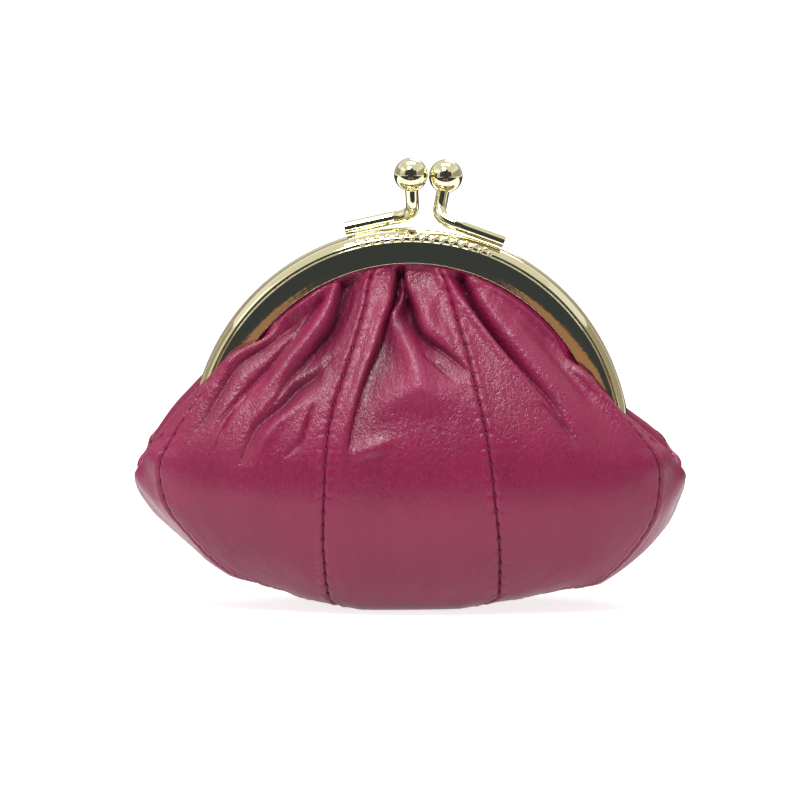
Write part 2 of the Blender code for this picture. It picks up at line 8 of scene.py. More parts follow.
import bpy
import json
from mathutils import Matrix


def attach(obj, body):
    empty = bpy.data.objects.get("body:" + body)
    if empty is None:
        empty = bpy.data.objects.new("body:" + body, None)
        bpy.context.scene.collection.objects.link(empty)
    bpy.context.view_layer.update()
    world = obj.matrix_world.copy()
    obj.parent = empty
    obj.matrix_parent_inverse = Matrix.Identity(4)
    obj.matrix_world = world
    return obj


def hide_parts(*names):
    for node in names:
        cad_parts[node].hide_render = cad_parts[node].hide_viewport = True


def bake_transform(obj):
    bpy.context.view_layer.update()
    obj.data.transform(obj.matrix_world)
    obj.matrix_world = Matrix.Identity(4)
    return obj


bl_info = {
    "name": "Kiss-lock coin purse",
    "version": (1, 0, 0),
    "blender": (4, 5, 0),
    "location": "3D View > Sidebar > Purse",
    "description": "Dresses the packed coin purse in gathered leather and polished metal",
    "category": "Object",
}

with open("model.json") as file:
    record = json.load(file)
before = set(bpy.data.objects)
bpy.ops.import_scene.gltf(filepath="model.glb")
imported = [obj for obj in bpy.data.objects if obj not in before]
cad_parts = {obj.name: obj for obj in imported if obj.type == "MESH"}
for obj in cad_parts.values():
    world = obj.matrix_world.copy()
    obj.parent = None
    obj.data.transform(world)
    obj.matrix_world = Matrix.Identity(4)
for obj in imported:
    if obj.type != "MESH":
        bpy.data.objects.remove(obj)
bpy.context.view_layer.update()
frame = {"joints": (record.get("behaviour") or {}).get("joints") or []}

import json
import math
from collections import namedtuple

import bpy
import numpy as np
from bpy.props import FloatProperty, FloatVectorProperty, IntProperty, PointerProperty
from mathutils import Matrix, Vector

MM = 0.001

HINGE = next(joint for joint in frame["joints"] if joint["name"] == "front_hinge")
HINGE_HEIGHT = HINGE["pos_m"][2] / MM
FRAME_TILT = math.atan2(-HINGE["axis"][2], HINGE["axis"][0])
VIEW_ELEVATION = math.radians(8.0)
HALVES = ((-1, "front"), (1, "rear"))
ENDS = ((-1, "left"), (1, "right"))


def linear(hex_colour):
    """A linear colour from an sRGB hex value."""
    shares = [int(hex_colour[i : i + 2], 16) / 255 for i in (1, 3, 5)]
    return tuple(s / 12.92 if s <= 0.04045 else ((s + 0.055) / 1.055) ** 2.4 for s in shares)


def size_setting(name, description, default):
    return FloatProperty(name=name, description=description, default=default, unit="LENGTH")


def colour_setting(name, description, hex_colour):
    return FloatVectorProperty(
        name=name, description=description, default=linear(hex_colour), subtype="COLOR"
    )


class MetalSizes(bpy.types.PropertyGroup):
    """Sizes of the frame and kiss lock, as the solids have them."""

    crown_radius: size_setting("Arch radius", "Hinge axis to the crown of the arch", 0.0440)
    channel_depth: size_setting("Channel depth", "Crown to the lip of the outer wall", 0.0064)
    channel_width: size_setting("Channel width", "Mating face to outer face of one half", 0.0054)
    sheet: size_setting("Sheet", "Thickness of the metal", 0.0006)
    ball_radius: size_setting("Ball radius", "Radius of each clasp ball", 0.00335)
    rod_radius: size_setting("Rod radius", "Radius of the bent clasp arms", 0.0013)
    bead_pitch: size_setting("Bead pitch", "Spacing of the embossed beads", 0.00204)
    beads: IntProperty(name="Beads", description="Embossed beads in each of the two rows", default=14)


class LeatherSizes(bpy.types.PropertyGroup):
    """Sizes of the leather bag."""

    thickness: size_setting("Leather", "Thickness of the leather", 0.001)
    stitch: size_setting("Stitch", "Spacing of the stitches in each seam", 0.0031)
    seam_depth: size_setting("Seam depth", "How far a seam is drawn into the bag", 0.0005)
    fold_strength: FloatProperty(
        name="Fold strength", description="Depth of every fold, as a share of the real one", default=1.0,
        subtype="FACTOR",
    )
    column_step: size_setting("Column step", "Width of one square of the leather's grid", 0.00026)
    rows: IntProperty(name="Rows", description="Squares of the grid from the frame to the base", default=300)


class Colours(bpy.types.PropertyGroup):
    """Colours of the purse's materials."""

    gold: colour_setting("Plating", "Pale gold plating", "#E0DAB4")
    leather: colour_setting("Leather", "Raspberry leather", "#8B1846")
    # painted shade and painted highlight: the colours the leather is given down in its creases and up on its
    # crests
    leather_painted_shade: colour_setting("Creases", "Leather down in its creases", "#560F2C")
    leather_painted_highlight: colour_setting("Crests", "Leather on the crests of its folds", "#982D58")
    lining: colour_setting("Lining", "Woven lining", "#5A2A3A")
    thread: colour_setting("Thread", "Sewing thread", "#6E2444")
    paper: colour_setting("Paper cord", "Cord that packs the channel", "#B9A47E")


# Small tools for objects

def deselect():
    bpy.ops.object.select_all(action="DESELECT")


def activate(obj):
    deselect()
    obj.select_set(True)
    bpy.context.view_layer.objects.active = obj


def named(name):
    """The primitive that was just added, under the name of its piece."""
    obj = bpy.context.object
    obj.name = name
    obj.data.name = name
    return obj


def apply_modifier(obj, kind, **settings):
    activate(obj)
    modifier = obj.modifiers.new(kind.title(), kind)
    for key, value in settings.items():
        setattr(modifier, key, value)
    bpy.ops.object.modifier_apply(modifier=modifier.name)


def join(obj, others):
    """Makes others part of obj."""
    activate(obj)
    for other in others:
        other.select_set(True)
    bpy.ops.object.join()
    return obj


def copied(obj, place):
    """A copy of obj with its own mesh, moved by a matrix."""
    copy = obj.copy()
    copy.data = obj.data.copy()
    copy.data.transform(place)
    bpy.context.collection.objects.link(copy)
    return copy


def sphere(name, radius, segments, rings):
    deselect()
    bpy.ops.mesh.primitive_uv_sphere_add(segments=segments, ring_count=rings, radius=radius)
    bpy.ops.object.shade_smooth()
    return named(name)


def tube_along(name, line, radius, resolution):
    """A round body along a line of points, in metres, with closed ends."""
    deselect()
    bpy.ops.curve.primitive_nurbs_path_add()
    obj = named(name)
    curve = obj.data
    curve.splines.clear()
    spline = curve.splines.new("POLY")
    spline.points.add(len(line) - 1)
    for point, place in zip(spline.points, line):
        point.co = (*place, 1.0)
    curve.dimensions = "3D"
    curve.bevel_depth = radius
    curve.bevel_resolution = resolution
    curve.use_fill_caps = True
    activate(obj)
    bpy.ops.object.convert(target="MESH")
    bpy.ops.object.shade_smooth()
    return bpy.context.object


def outline(name, points):
    """A closed ring of vertices at these points, in edit mode with all of it selected."""
    deselect()
    bpy.ops.mesh.primitive_circle_add(vertices=len(points), radius=MM)
    obj = named(name)
    for vertex, point in zip(obj.data.vertices, points):
        vertex.co = point
    bpy.ops.object.mode_set(mode="EDIT")
    bpy.ops.mesh.select_all(action="SELECT")
    return obj


def closed(obj, smooth=35.0):
    """Leaves edit mode with doubles merged, normals outward and soft shading."""
    bpy.ops.mesh.select_all(action="SELECT")
    bpy.ops.mesh.remove_doubles(threshold=1e-6)
    bpy.ops.mesh.normals_make_consistent(inside=False)
    bpy.ops.object.mode_set(mode="OBJECT")
    activate(obj)
    bpy.ops.object.shade_smooth_by_angle(angle=math.radians(smooth))
    return obj


def lathe(name, profile, steps):
    """A body turned about X: profile is (x, radius) from one end of the axis to the other."""
    obj = outline(name, [(x, 0, radius) for x, radius in profile])
    bpy.ops.mesh.spin(steps=steps, angle=2 * math.pi, center=(0, 0, 0), axis=(1, 0, 0))
    return closed(obj)


def arc(centre, radii, first, last, steps):
    """Points on an ellipse's arc between two angles in degrees."""
    angles = np.radians(np.linspace(first, last, steps + 1))
    return [(centre[0] + radii[0] * math.cos(a), centre[1] + radii[1] * math.sin(a)) for a in angles]


def on_frame(obj):
    """Moves a piece from the arch centre's own axes to its place on the leaning frame."""
    obj.data.transform(
        Matrix.Translation((0, 0, HINGE_HEIGHT * MM)) @ Matrix.Rotation(FRAME_TILT, 4, "Y")
    )
    return obj


def dress(obj, slot, body, *nodes):
    """Gives a piece the finish of its slot and its body, and hides the solids that it stands for."""
    obj.data.materials.clear()
    obj.data.materials.append(finished(*FINISHES[slot]))
    if nodes:
        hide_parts(*nodes)
    if body:
        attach(obj, body)


def hang(obj, slot, half, *nodes):
    """Dresses a soft piece without a body and bakes its place into its mesh."""
    dress(obj, slot, None, *nodes)
    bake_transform(obj)


# Materials

NOISE_SPREAD = {"From Min": 0.3, "From Max": 0.7}      # nearly all of a noise's values lie in between


def add_node(tree, kind, output, inputs=None, **settings):
    """Adds a node, or takes the one of that name that a new tree has, and gives back the output named.

    Inputs are values or the outputs of other nodes, by socket. Settings are the node's own properties.
    """
    node = tree.nodes.get(kind) or tree.nodes.new(kind)
    for key, value in settings.items():
        setattr(node, key, value)
    for key, value in (inputs or {}).items():
        if isinstance(value, bpy.types.NodeSocket):
            tree.links.new(value, node.inputs[key])
        else:
            node.inputs[key].default_value = value
    return node.outputs[output] if output else None


def opaque(colour):
    return (*colour, 1.0)


def per_metre(spacing):
    """A pattern's scale, from the size of its cells in millimetres."""
    return 1 / (spacing * MM)


def finished(name, finish, *details):
    """The material of this name, which its finish makes the first time."""
    material = bpy.data.materials.get(name)
    if not material:
        material = bpy.data.materials.new(name)
        material.use_nodes = True
        finish(material.node_tree, *details)
    return material


def gold_plated_steel(tree):
    """Pressed sheet steel, bright-plated: mirror-like, with a faint haze and the marks of polishing."""
    place = add_node(tree, "ShaderNodeTexCoord", "Object")
    haze = add_node(
        tree, "ShaderNodeTexNoise", "Fac", {"Vector": place, "Scale": per_metre(5.56), "Detail": 3.0}
    )
    rough = add_node(
        tree, "ShaderNodeMapRange", "Result", {"Value": haze, **NOISE_SPREAD, "To Min": 0.03, "To Max": 0.065}
    )
    marks = add_node(
        tree, "ShaderNodeTexNoise", "Fac", {"Vector": place, "Scale": per_metre(1.11), "Detail": 2.0}
    )
    bump = add_node(tree, "ShaderNodeBump", "Normal", {"Height": marks, "Strength": 0.04, "Distance": 0.0001})
    gold = opaque(bpy.context.scene.purse_colours.gold)
    shader = {"Base Color": gold, "Metallic": 1.0, "Roughness": rough, "Normal": bump}
    add_node(tree, "Principled BSDF", "BSDF", shader)


def nappa_leather(tree):
    """Soft drum-dyed nappa with a semi-gloss finish.

    Its wrinkles are about 0.6 mm apart, strongest where it is gathered, and its pores 0.5 mm. It has painted
    shade in its creases and a painted highlight on its crests.
    """
    colours = bpy.context.scene.purse_colours
    place = add_node(tree, "ShaderNodeTexCoord", "Object")
    relief = add_node(tree, "ShaderNodeAttribute", "Fac", attribute_name="relief")
    # painted shade in the folds' hollows and painted highlight on their crests, from how far each place is
    # pushed
    painted_shade_and_highlight = add_node(tree, "ShaderNodeValToRGB", "Color", {"Fac": relief})
    stops = painted_shade_and_highlight.node.color_ramp.elements
    stops[0].color = opaque(colours.leather_painted_shade)
    stops[1].color = opaque(colours.leather_painted_highlight)
    stops.new(0.5).color = opaque(colours.leather)
    cloud = add_node(
        tree, "ShaderNodeTexNoise", "Fac",
        {"Vector": place, "Scale": per_metre(11.1), "Detail": 4.0, "Roughness": 0.55},
    )
    patches = add_node(
        tree, "ShaderNodeMapRange", "Result", {"Value": cloud, **NOISE_SPREAD, "To Min": 0.92, "To Max": 1.07}
    )
    # the wrinkles run a little longer up the bag than round it
    drawn = add_node(tree, "ShaderNodeMapping", "Vector", {"Vector": place, "Scale": (1.0, 1.0, 0.65)})
    crumple = add_node(
        tree, "ShaderNodeTexNoise", "Fac",
        {"Vector": drawn, "Scale": per_metre(0.625), "Detail": 1.8, "Distortion": 0.9},
    )
    # partly the grain's own tone and partly painted shade: darker down in the wrinkles, where the bump dips
    wrinkles = add_node(
        tree, "ShaderNodeMapRange", "Result",
        {"Value": crumple, **NOISE_SPREAD, "To Min": 0.94, "To Max": 1.06},
    )
    shaded = add_node(tree, "ShaderNodeVectorMath", "Vector", {0: painted_shade_and_highlight, 1: patches}, operation="MULTIPLY")
    lined = add_node(tree, "ShaderNodeVectorMath", "Vector", {0: shaded, 1: wrinkles}, operation="MULTIPLY")
    height = add_node(tree, "ShaderNodeSeparateXYZ", "Z", {"Vector": place})
    gathered = add_node(
        tree, "ShaderNodeMapRange", "Result",
        {"Value": height, "From Min": 0.018, "From Max": 0.042, "To Min": 0.18, "To Max": 0.50},
    )
    coarse = add_node(
        tree, "ShaderNodeBump", "Normal", {"Height": crumple, "Strength": gathered, "Distance": 0.0004}
    )
    pores = add_node(
        tree, "ShaderNodeTexVoronoi", "Distance", {"Vector": place, "Scale": per_metre(0.476)},
        feature="DISTANCE_TO_EDGE",
    )
    fine = add_node(
        tree, "ShaderNodeTexNoise", "Fac",
        {"Vector": place, "Scale": per_metre(0.417), "Detail": 3.0, "Distortion": 1.0},
    )
    grain = add_node(tree, "ShaderNodeMath", "Value", {0: pores, 1: fine}, operation="ADD")
    bump = add_node(
        tree, "ShaderNodeBump", "Normal",
        {"Height": grain, "Normal": coarse, "Strength": 0.22, "Distance": 0.0001},
    )
    gloss = add_node(
        tree, "ShaderNodeMapRange", "Result",
        {"Value": crumple, **NOISE_SPREAD, "To Min": 0.31, "To Max": 0.43},
    )
    shader = {"Base Color": lined, "Roughness": gloss, "IOR": 1.48, "Normal": bump}
    add_node(tree, "Principled BSDF", "BSDF", shader)


def woven(tree, colour, pitch, roughness):
    """Threads a real pitch apart that cross each other: matt, with painted shade between them, and a soft
    bump.
    """
    place = add_node(tree, "ShaderNodeTexCoord", "Object")
    # at scale 1 a wave is 2 pi / 20 long, and here it spans two threads
    size = {"Vector": place, "Scale": math.pi / (20 * pitch)}
    warp = add_node(tree, "ShaderNodeTexWave", "Fac", size, bands_direction="X")
    weft = add_node(tree, "ShaderNodeTexWave", "Fac", size, bands_direction="Z")
    cloth = add_node(tree, "ShaderNodeMath", "Value", {0: warp, 1: weft}, operation="MULTIPLY")
    # painted shade: darker where the threads dip between each other
    shade = add_node(tree, "ShaderNodeMapRange", "Result", {"Value": cloth, "To Min": 0.75, "To Max": 1.1})
    base = add_node(tree, "ShaderNodeVectorMath", "Vector", {0: colour, 1: shade}, operation="MULTIPLY")
    relief = {"Height": cloth, "Strength": 0.5, "Distance": pitch / 4}
    bump = add_node(tree, "ShaderNodeBump", "Normal", relief)
    add_node(tree, "Principled BSDF", "BSDF", {"Base Color": base, "Roughness": roughness, "Normal": bump})


def lining_cloth(tree):
    """Plain-woven polyester: a fine grid of threads with a dull sheen."""
    woven(tree, bpy.context.scene.purse_colours.lining, 0.0004, 0.7)


def sewing_thread(tree):
    """Twisted polyester: matt, with fine shadows across the thread."""
    woven(tree, bpy.context.scene.purse_colours.thread, 0.0003, 0.6)


def paper_cord(tree):
    """Twisted kraft paper: dull and a little coarse."""
    woven(tree, bpy.context.scene.purse_colours.paper, 0.0005, 0.9)


FINISHES = {
    "gold": ("gold_plated_steel_polished", gold_plated_steel),
    "leather": ("raspberry_nappa_leather", nappa_leather),
    "lining": ("polyester_lining_woven", lining_cloth),
    "thread": ("polyester_thread_twisted", sewing_thread),
    "paper": ("kraft_paper_cord_twisted", paper_cord),
}


# The bag's surface, in millimetres

LIP = 37.6                    # arch centre to the lip of the channel's outer wall
HELD = 4.65                   # mating plane to the outer face of the leather inside the channel
IN_FRONT = 5.90               # the same for leather that passes in front of the wall
INSERT = 3.6                  # leather held inside the channel
CENTRE_SEAM = 12.8            # degrees round the belly from the middle of the front
GUSSET_SEAM = 61.0
ARCH_FOOT = 80.0              # the leather passes the end of the arch here
OVAL_POWER = 0.8              # below 1 an oval is fuller at its ends
BELLY = (55.0, 24.0, 26.5)    # half-length, half-depth and height of the widest place
BASE = (20.5, 9.5)            # half-length and half-depth of the bottom
SAG = (                       # along the bag, how far its bottom rises from the plain oval or hangs below
    (-54, 1.2), (-47, 0.6), (-41, -1.6), (-36, -1.0), (-31, 1.0), (-25, 1.9), (-18, 1.0), (-10, 0.0),
    (10, 0.2), (18, 1.2), (25, 1.6), (31, 1.0), (38, -1.6), (44, -1.2), (54, -0.6),
)
SAG_HEIGHT = 20.0             # the sag fades out up to here
END_BULGE = 1.3               # the ends of the bag swell this much below the hinges
END_BULGE_HEIGHT = 30.0
BASE_LIFT = 0.9               # the ends of the bottom rise this far off the table
CENTRE_SEAM_FOOT = 37.3       # degrees round the oval of the bottom
GUSSET_SEAM_FOOT = 66.0
OVERHANG = 16.5               # how far the leather rolls out past the lip beside the hinge
OVERHANG_START = (40.0, 50.0) # degrees down the arch where it starts, left and right
OVERHANG_POWER = (1.8, 3.0)
ROLL_DEPTH = 4.5              # how far forward of IN_FRONT the roll comes
ROLL_RUN = 3.4                # leather against the metal under the roll, besides its reach
ROLL_ONSET = 2.6              # the roll has its full shape after one part in this many of its way
UNDER_EAR = 6.9               # hinge axis down to the lowest station at the ends of the bag
FOLD_RISE = 2.2               # how far the highest station there lies above it
GUSSET_SKIVE = 0.45           # the gussets are pared to this share of the leather's thickness
SEAM_GAP = 0.10               # slit between two panels
BELLY_SWELL = 0.06            # the leather bows out this share of its drop from the frame to the belly
FULLNESS = (0.30, 0.60)       # how far down the belly stays full, at its left and right end
RUN_TO_CHORD = 1.15           # the belly's length round to its length across
RELIEF_RANGE = 5.0            # from the push painted darkest, as shade, to the push painted palest, as highlight
GUSSET_COLUMNS = 72
UNDER_LIP = ((1.0, 0.2), (2.0, 0.6), (3.1, 1.2), (4.3, 1.9))   # past the lip: how far in, and out from HELD
END_REACH = (0.84, 1.01)      # shares of OVERHANG that the last two stations reach at the bag's ends
END_RISE = (0.8, 0.65, 0.1, 0.0, 0.7, 1.0)             # shares of FOLD_RISE that the stations have there
ARCH_KNOTS = (                # degrees round the belly, and down the arch where that line comes out
    (-90, -90), (-80, -90), (-61, -68), (-12.8, -10), (12.8, 10), (61, 68), (80, 90), (90, 90)
)


def smoothstep(x):
    x = np.clip(x, 0.0, 1.0)
    return x * x * (3 - 2 * x)


def lerp(a, b, share):
    return a + (b - a) * share


def round_oval(degrees):
    """Shares of an oval's half-length and half-depth at angles from the middle of the front."""
    turn = np.radians(degrees)
    across = np.sign(turn) * np.abs(np.sin(turn)) ** OVAL_POWER
    return across, np.sign(np.cos(turn)) * np.abs(np.cos(turn)) ** OVAL_POWER


def belly_angle(across):
    """The angle whose share of the oval's half-length this is."""
    return np.degrees(np.sign(across) * np.arcsin(np.abs(across) ** (1 / OVAL_POWER)))


def unit(ways):
    return ways / np.maximum(np.linalg.norm(ways, axis=-1, keepdims=True), 1e-9)


def arch_angle(angles):
    """Degrees from the crown of the arch at which the leather of each line comes out of the frame."""
    return np.interp(angles, *zip(*ARCH_KNOTS))


def held_length(angles):
    """How much of each line of leather is held inside the channel: little at the ends of the arch."""
    return INSERT * lerp(1.0, 0.10, smoothstep((np.abs(arch_angle(angles)) - 74) / 8))


def overhang(angles):
    """How far over the frame the leather rolls, and how much of the roll's shape it has."""
    start = np.where(angles < 0, *OVERHANG_START)
    down = np.maximum(0.0, np.abs(arch_angle(angles)) - start) / (90 - start)
    return OVERHANG * down ** np.where(angles < 0, *OVERHANG_POWER), smoothstep(ROLL_ONSET * down)


def hidden_length(angles):
    """How much of each line lies in the channel or under the roll, against the metal."""
    reach, share = overhang(angles)
    return held_length(angles) + share * (ROLL_RUN + reach)


def top_net(angles):
    """Six stations a column: inside the channel, out under the lip and over the roll at the sides."""
    reach, rolled = overhang(angles)
    level = np.ones_like(reach)
    held = [(LIP + held_length(angles), HELD * level), (LIP * level, HELD * level)]
    straight = held + [((LIP - inside) * level, (HELD + out) * level) for inside, out in UNDER_LIP]
    roll = held + [
        ((LIP - 1.8) * level, (IN_FRONT - 0.4) * level),
        (LIP - 0.2 + 0.3 * reach, (IN_FRONT + 0.4) * level),
        (LIP + reach, (IN_FRONT + 0.45 * ROLL_DEPTH) * level),
        (LIP + 0.8 * reach, (IN_FRONT + ROLL_DEPTH) * level),
    ]
    radius, forward = np.moveaxis(lerp(np.array(straight), np.array(roll), rolled), 1, 0)
    turn = np.radians(arch_angle(angles))
    past = np.maximum(0.0, (np.abs(angles) - ARCH_FOOT) / (90 - ARCH_FOOT))
    swing = np.radians(90 * past)
    end_x = np.sign(angles) * (LIP + np.array(END_REACH)[:, None] * OVERHANG)
    end_z = HINGE_HEIGHT - UNDER_EAR + np.array(END_RISE)[:, None] * FOLD_RISE
    x = radius * np.sin(turn)
    x[4:] = lerp(x[4:], end_x, smoothstep(past))
    z = lerp(HINGE_HEIGHT + radius * np.cos(turn), end_z, np.sin(swing))
    return np.stack([x, -forward * np.cos(swing), z], axis=-1).transpose(1, 0, 2)


def eased_top(angles):
    """The top stations, averaged over a few degrees so that no knot shows as a ridge."""
    total, weight = 0.0, 0.0
    for offset in np.linspace(-5, 5, 11):
        share = math.exp(-(offset**2) / 12)
        turned = angles + offset
        over = np.abs(turned) > 90
        stations = top_net(np.where(over, np.sign(turned) * 180 - turned, turned))
        stations[over, :, 1] *= -1
        total = total + share * stations
        weight += share
    return total / weight


def through(stations, steps):
    """Points on a smooth curve through stations, which vary along axis 1."""
    first = 2 * stations[:, :1] - stations[:, 1:2]
    last = 2 * stations[:, -1:] - stations[:, -2:-1]
    padded = np.concatenate([first, stations, last], axis=1)
    made = []
    for i in range(stations.shape[1] - 1):
        a, b, c, d = (padded[:, i + k] for k in range(4))
        for share in np.arange(steps) / steps:
            made.append(
                0.5 * (2 * b + (c - a) * share + (2 * a - 5 * b + 4 * c - d) * share**2
                       + (3 * b - a - 3 * c + d) * share**3)
            )
    made.append(stations[:, -1])
    return np.stack(made, axis=1)


def bezier(a, b, c, d, steps):
    """Points after a on the curves that leave a towards b and come to d from c."""
    shares = (np.arange(1, steps + 1) / steps)[None, :, None]
    left = 1 - shares
    a, b, c, d = (p[:, None, :] for p in (a, b, c, d))
    return a * left**3 + 3 * b * left**2 * shares + 3 * c * left * shares**2 + d * shares**3


def lengths_down(lines):
    """How far down its line each point is."""
    steps = np.linalg.norm(np.diff(lines, axis=1), axis=2)
    return np.concatenate([np.zeros((len(lines), 1)), np.cumsum(steps, axis=1)], axis=1)


def resampled(lines, count, starts=None):
    """The same lines, or their parts from these lengths on, with count + 1 points evenly spaced."""
    length = lengths_down(lines)
    starts = np.zeros(len(lines)) if starts is None else starts
    made = np.empty((len(lines), count + 1, 3))
    for i, (line, along, start) in enumerate(zip(lines, length, starts)):
        even = np.linspace(start, along[-1], count + 1)
        for axis in range(3):
            made[i, :, axis] = np.interp(even, along, line[:, axis])
    return made


def softened(lines, passes, share=1.0):
    """Lines with their corners eased along their length. Their ends stay."""
    for _ in range(passes):
        middle = 0.5 * (lines[:, :-2] + lines[:, 2:])
        lines[:, 1:-1] += 0.5 * share * (middle - lines[:, 1:-1])
    return lines


def plain_surface(angles, rows):
    """The front half of the bag without folds: a line from the channel to the base for each angle.

    Angles past 90 degrees carry on round the end of the bag to the rear.
    """
    rear = np.abs(angles) > 90
    angles = np.where(rear, np.sign(angles) * 180 - angles, angles)
    across, forward = round_oval(angles)
    level = 0 * across
    top = eased_top(angles)
    start = top[:, -1]
    belly = np.stack([BELLY[0] * across, -BELLY[1] * forward, level + BELLY[2]], axis=1)
    corner = round_oval(GUSSET_SEAM_FOOT)[0]
    feet = (0, round_oval(CENTRE_SEAM_FOOT)[0], corner, corner)
    foot_across = np.interp(np.abs(angles), (0, CENTRE_SEAM, GUSSET_SEAM, 90), feet) * np.sign(angles)
    past = np.maximum(0.0, (np.abs(angles) - GUSSET_SEAM) / (90 - GUSSET_SEAM))
    foot_forward = (1 - np.abs(foot_across) ** (2 / OVAL_POWER)) ** (OVAL_POWER / 2) * (1 - past)
    base = np.stack([BASE[0] * foot_across, -BASE[1] * foot_forward, level], axis=1)
    up = np.array([0, 0, 1.0])
    fall = start - belly
    swell = BELLY_SWELL * np.linalg.norm(fall, axis=1, keepdims=True)
    shoulder = lerp(start, belly, 1 / 3) + unit(np.stack([across, -forward, level], axis=1)) * swell
    upper = bezier(start, shoulder, belly + up * fall[:, 2:] / 3, belly, 40)
    reach = base - belly
    sideways = reach * np.array([1, 1, 0])
    fullness = lerp(*FULLNESS, smoothstep(0.5 + 0.5 * across))[:, None]
    tail = base - 0.40 * sideways + up * 0.06 * np.linalg.norm(sideways, axis=1, keepdims=True)
    lower = bezier(belly, belly + up * fullness * reach[:, 2:], tail, base, 40)
    base[:, 2] += base_lift(base[:, 0])
    seam_end = np.stack([base[:, 0], np.where(past > 0, base[:, 1], -SEAM_GAP / 2), base[:, 2]], axis=1)
    flat = lerp(base[:, None], seam_end[:, None], (np.arange(1, 13) / 12)[None, :, None])
    lines = np.concatenate([through(top, 8), upper, lower, flat], axis=1)
    lines[rear, :, 1] *= -1
    lines = softened(resampled(lines, rows), 6)
    turned_over = smoothstep((lengths_down(lines) - hidden_length(angles)[:, None] + 2.5) / 3)
    return softened(lines, 110, turned_over[:, 1:-1, None])


def base_lift(x):
    return smoothstep((np.abs(x) - 8) / 12) * BASE_LIFT


def bottom_height(x):
    """How high the bottom of the bag lies over the table, along the bag."""
    return np.maximum(0.0, base_lift(x) + np.interp(x, *zip(*SAG)))


def normals_of(grid):
    """Outward unit normals of a grid of points."""
    return unit(np.cross(np.gradient(grid, axis=1), np.gradient(grid, axis=0)))


def from_arch(points):
    """Distance of points from the arch centre, seen along the frame."""
    return np.hypot(points[..., 0], points[..., 2] - HINGE_HEIGHT)


# Folds

# Each runs down a route seen from the camera, in millimetres right of the middle and up from the table.
# Its heights are how far it stands out along the route, left and right its widths, shape how steep its
# flanks are, and tuck how far it is drawn over the leather beside it.
Fold = namedtuple("Fold", "route heights left right shape tuck", defaults=(2.0, 0.0))

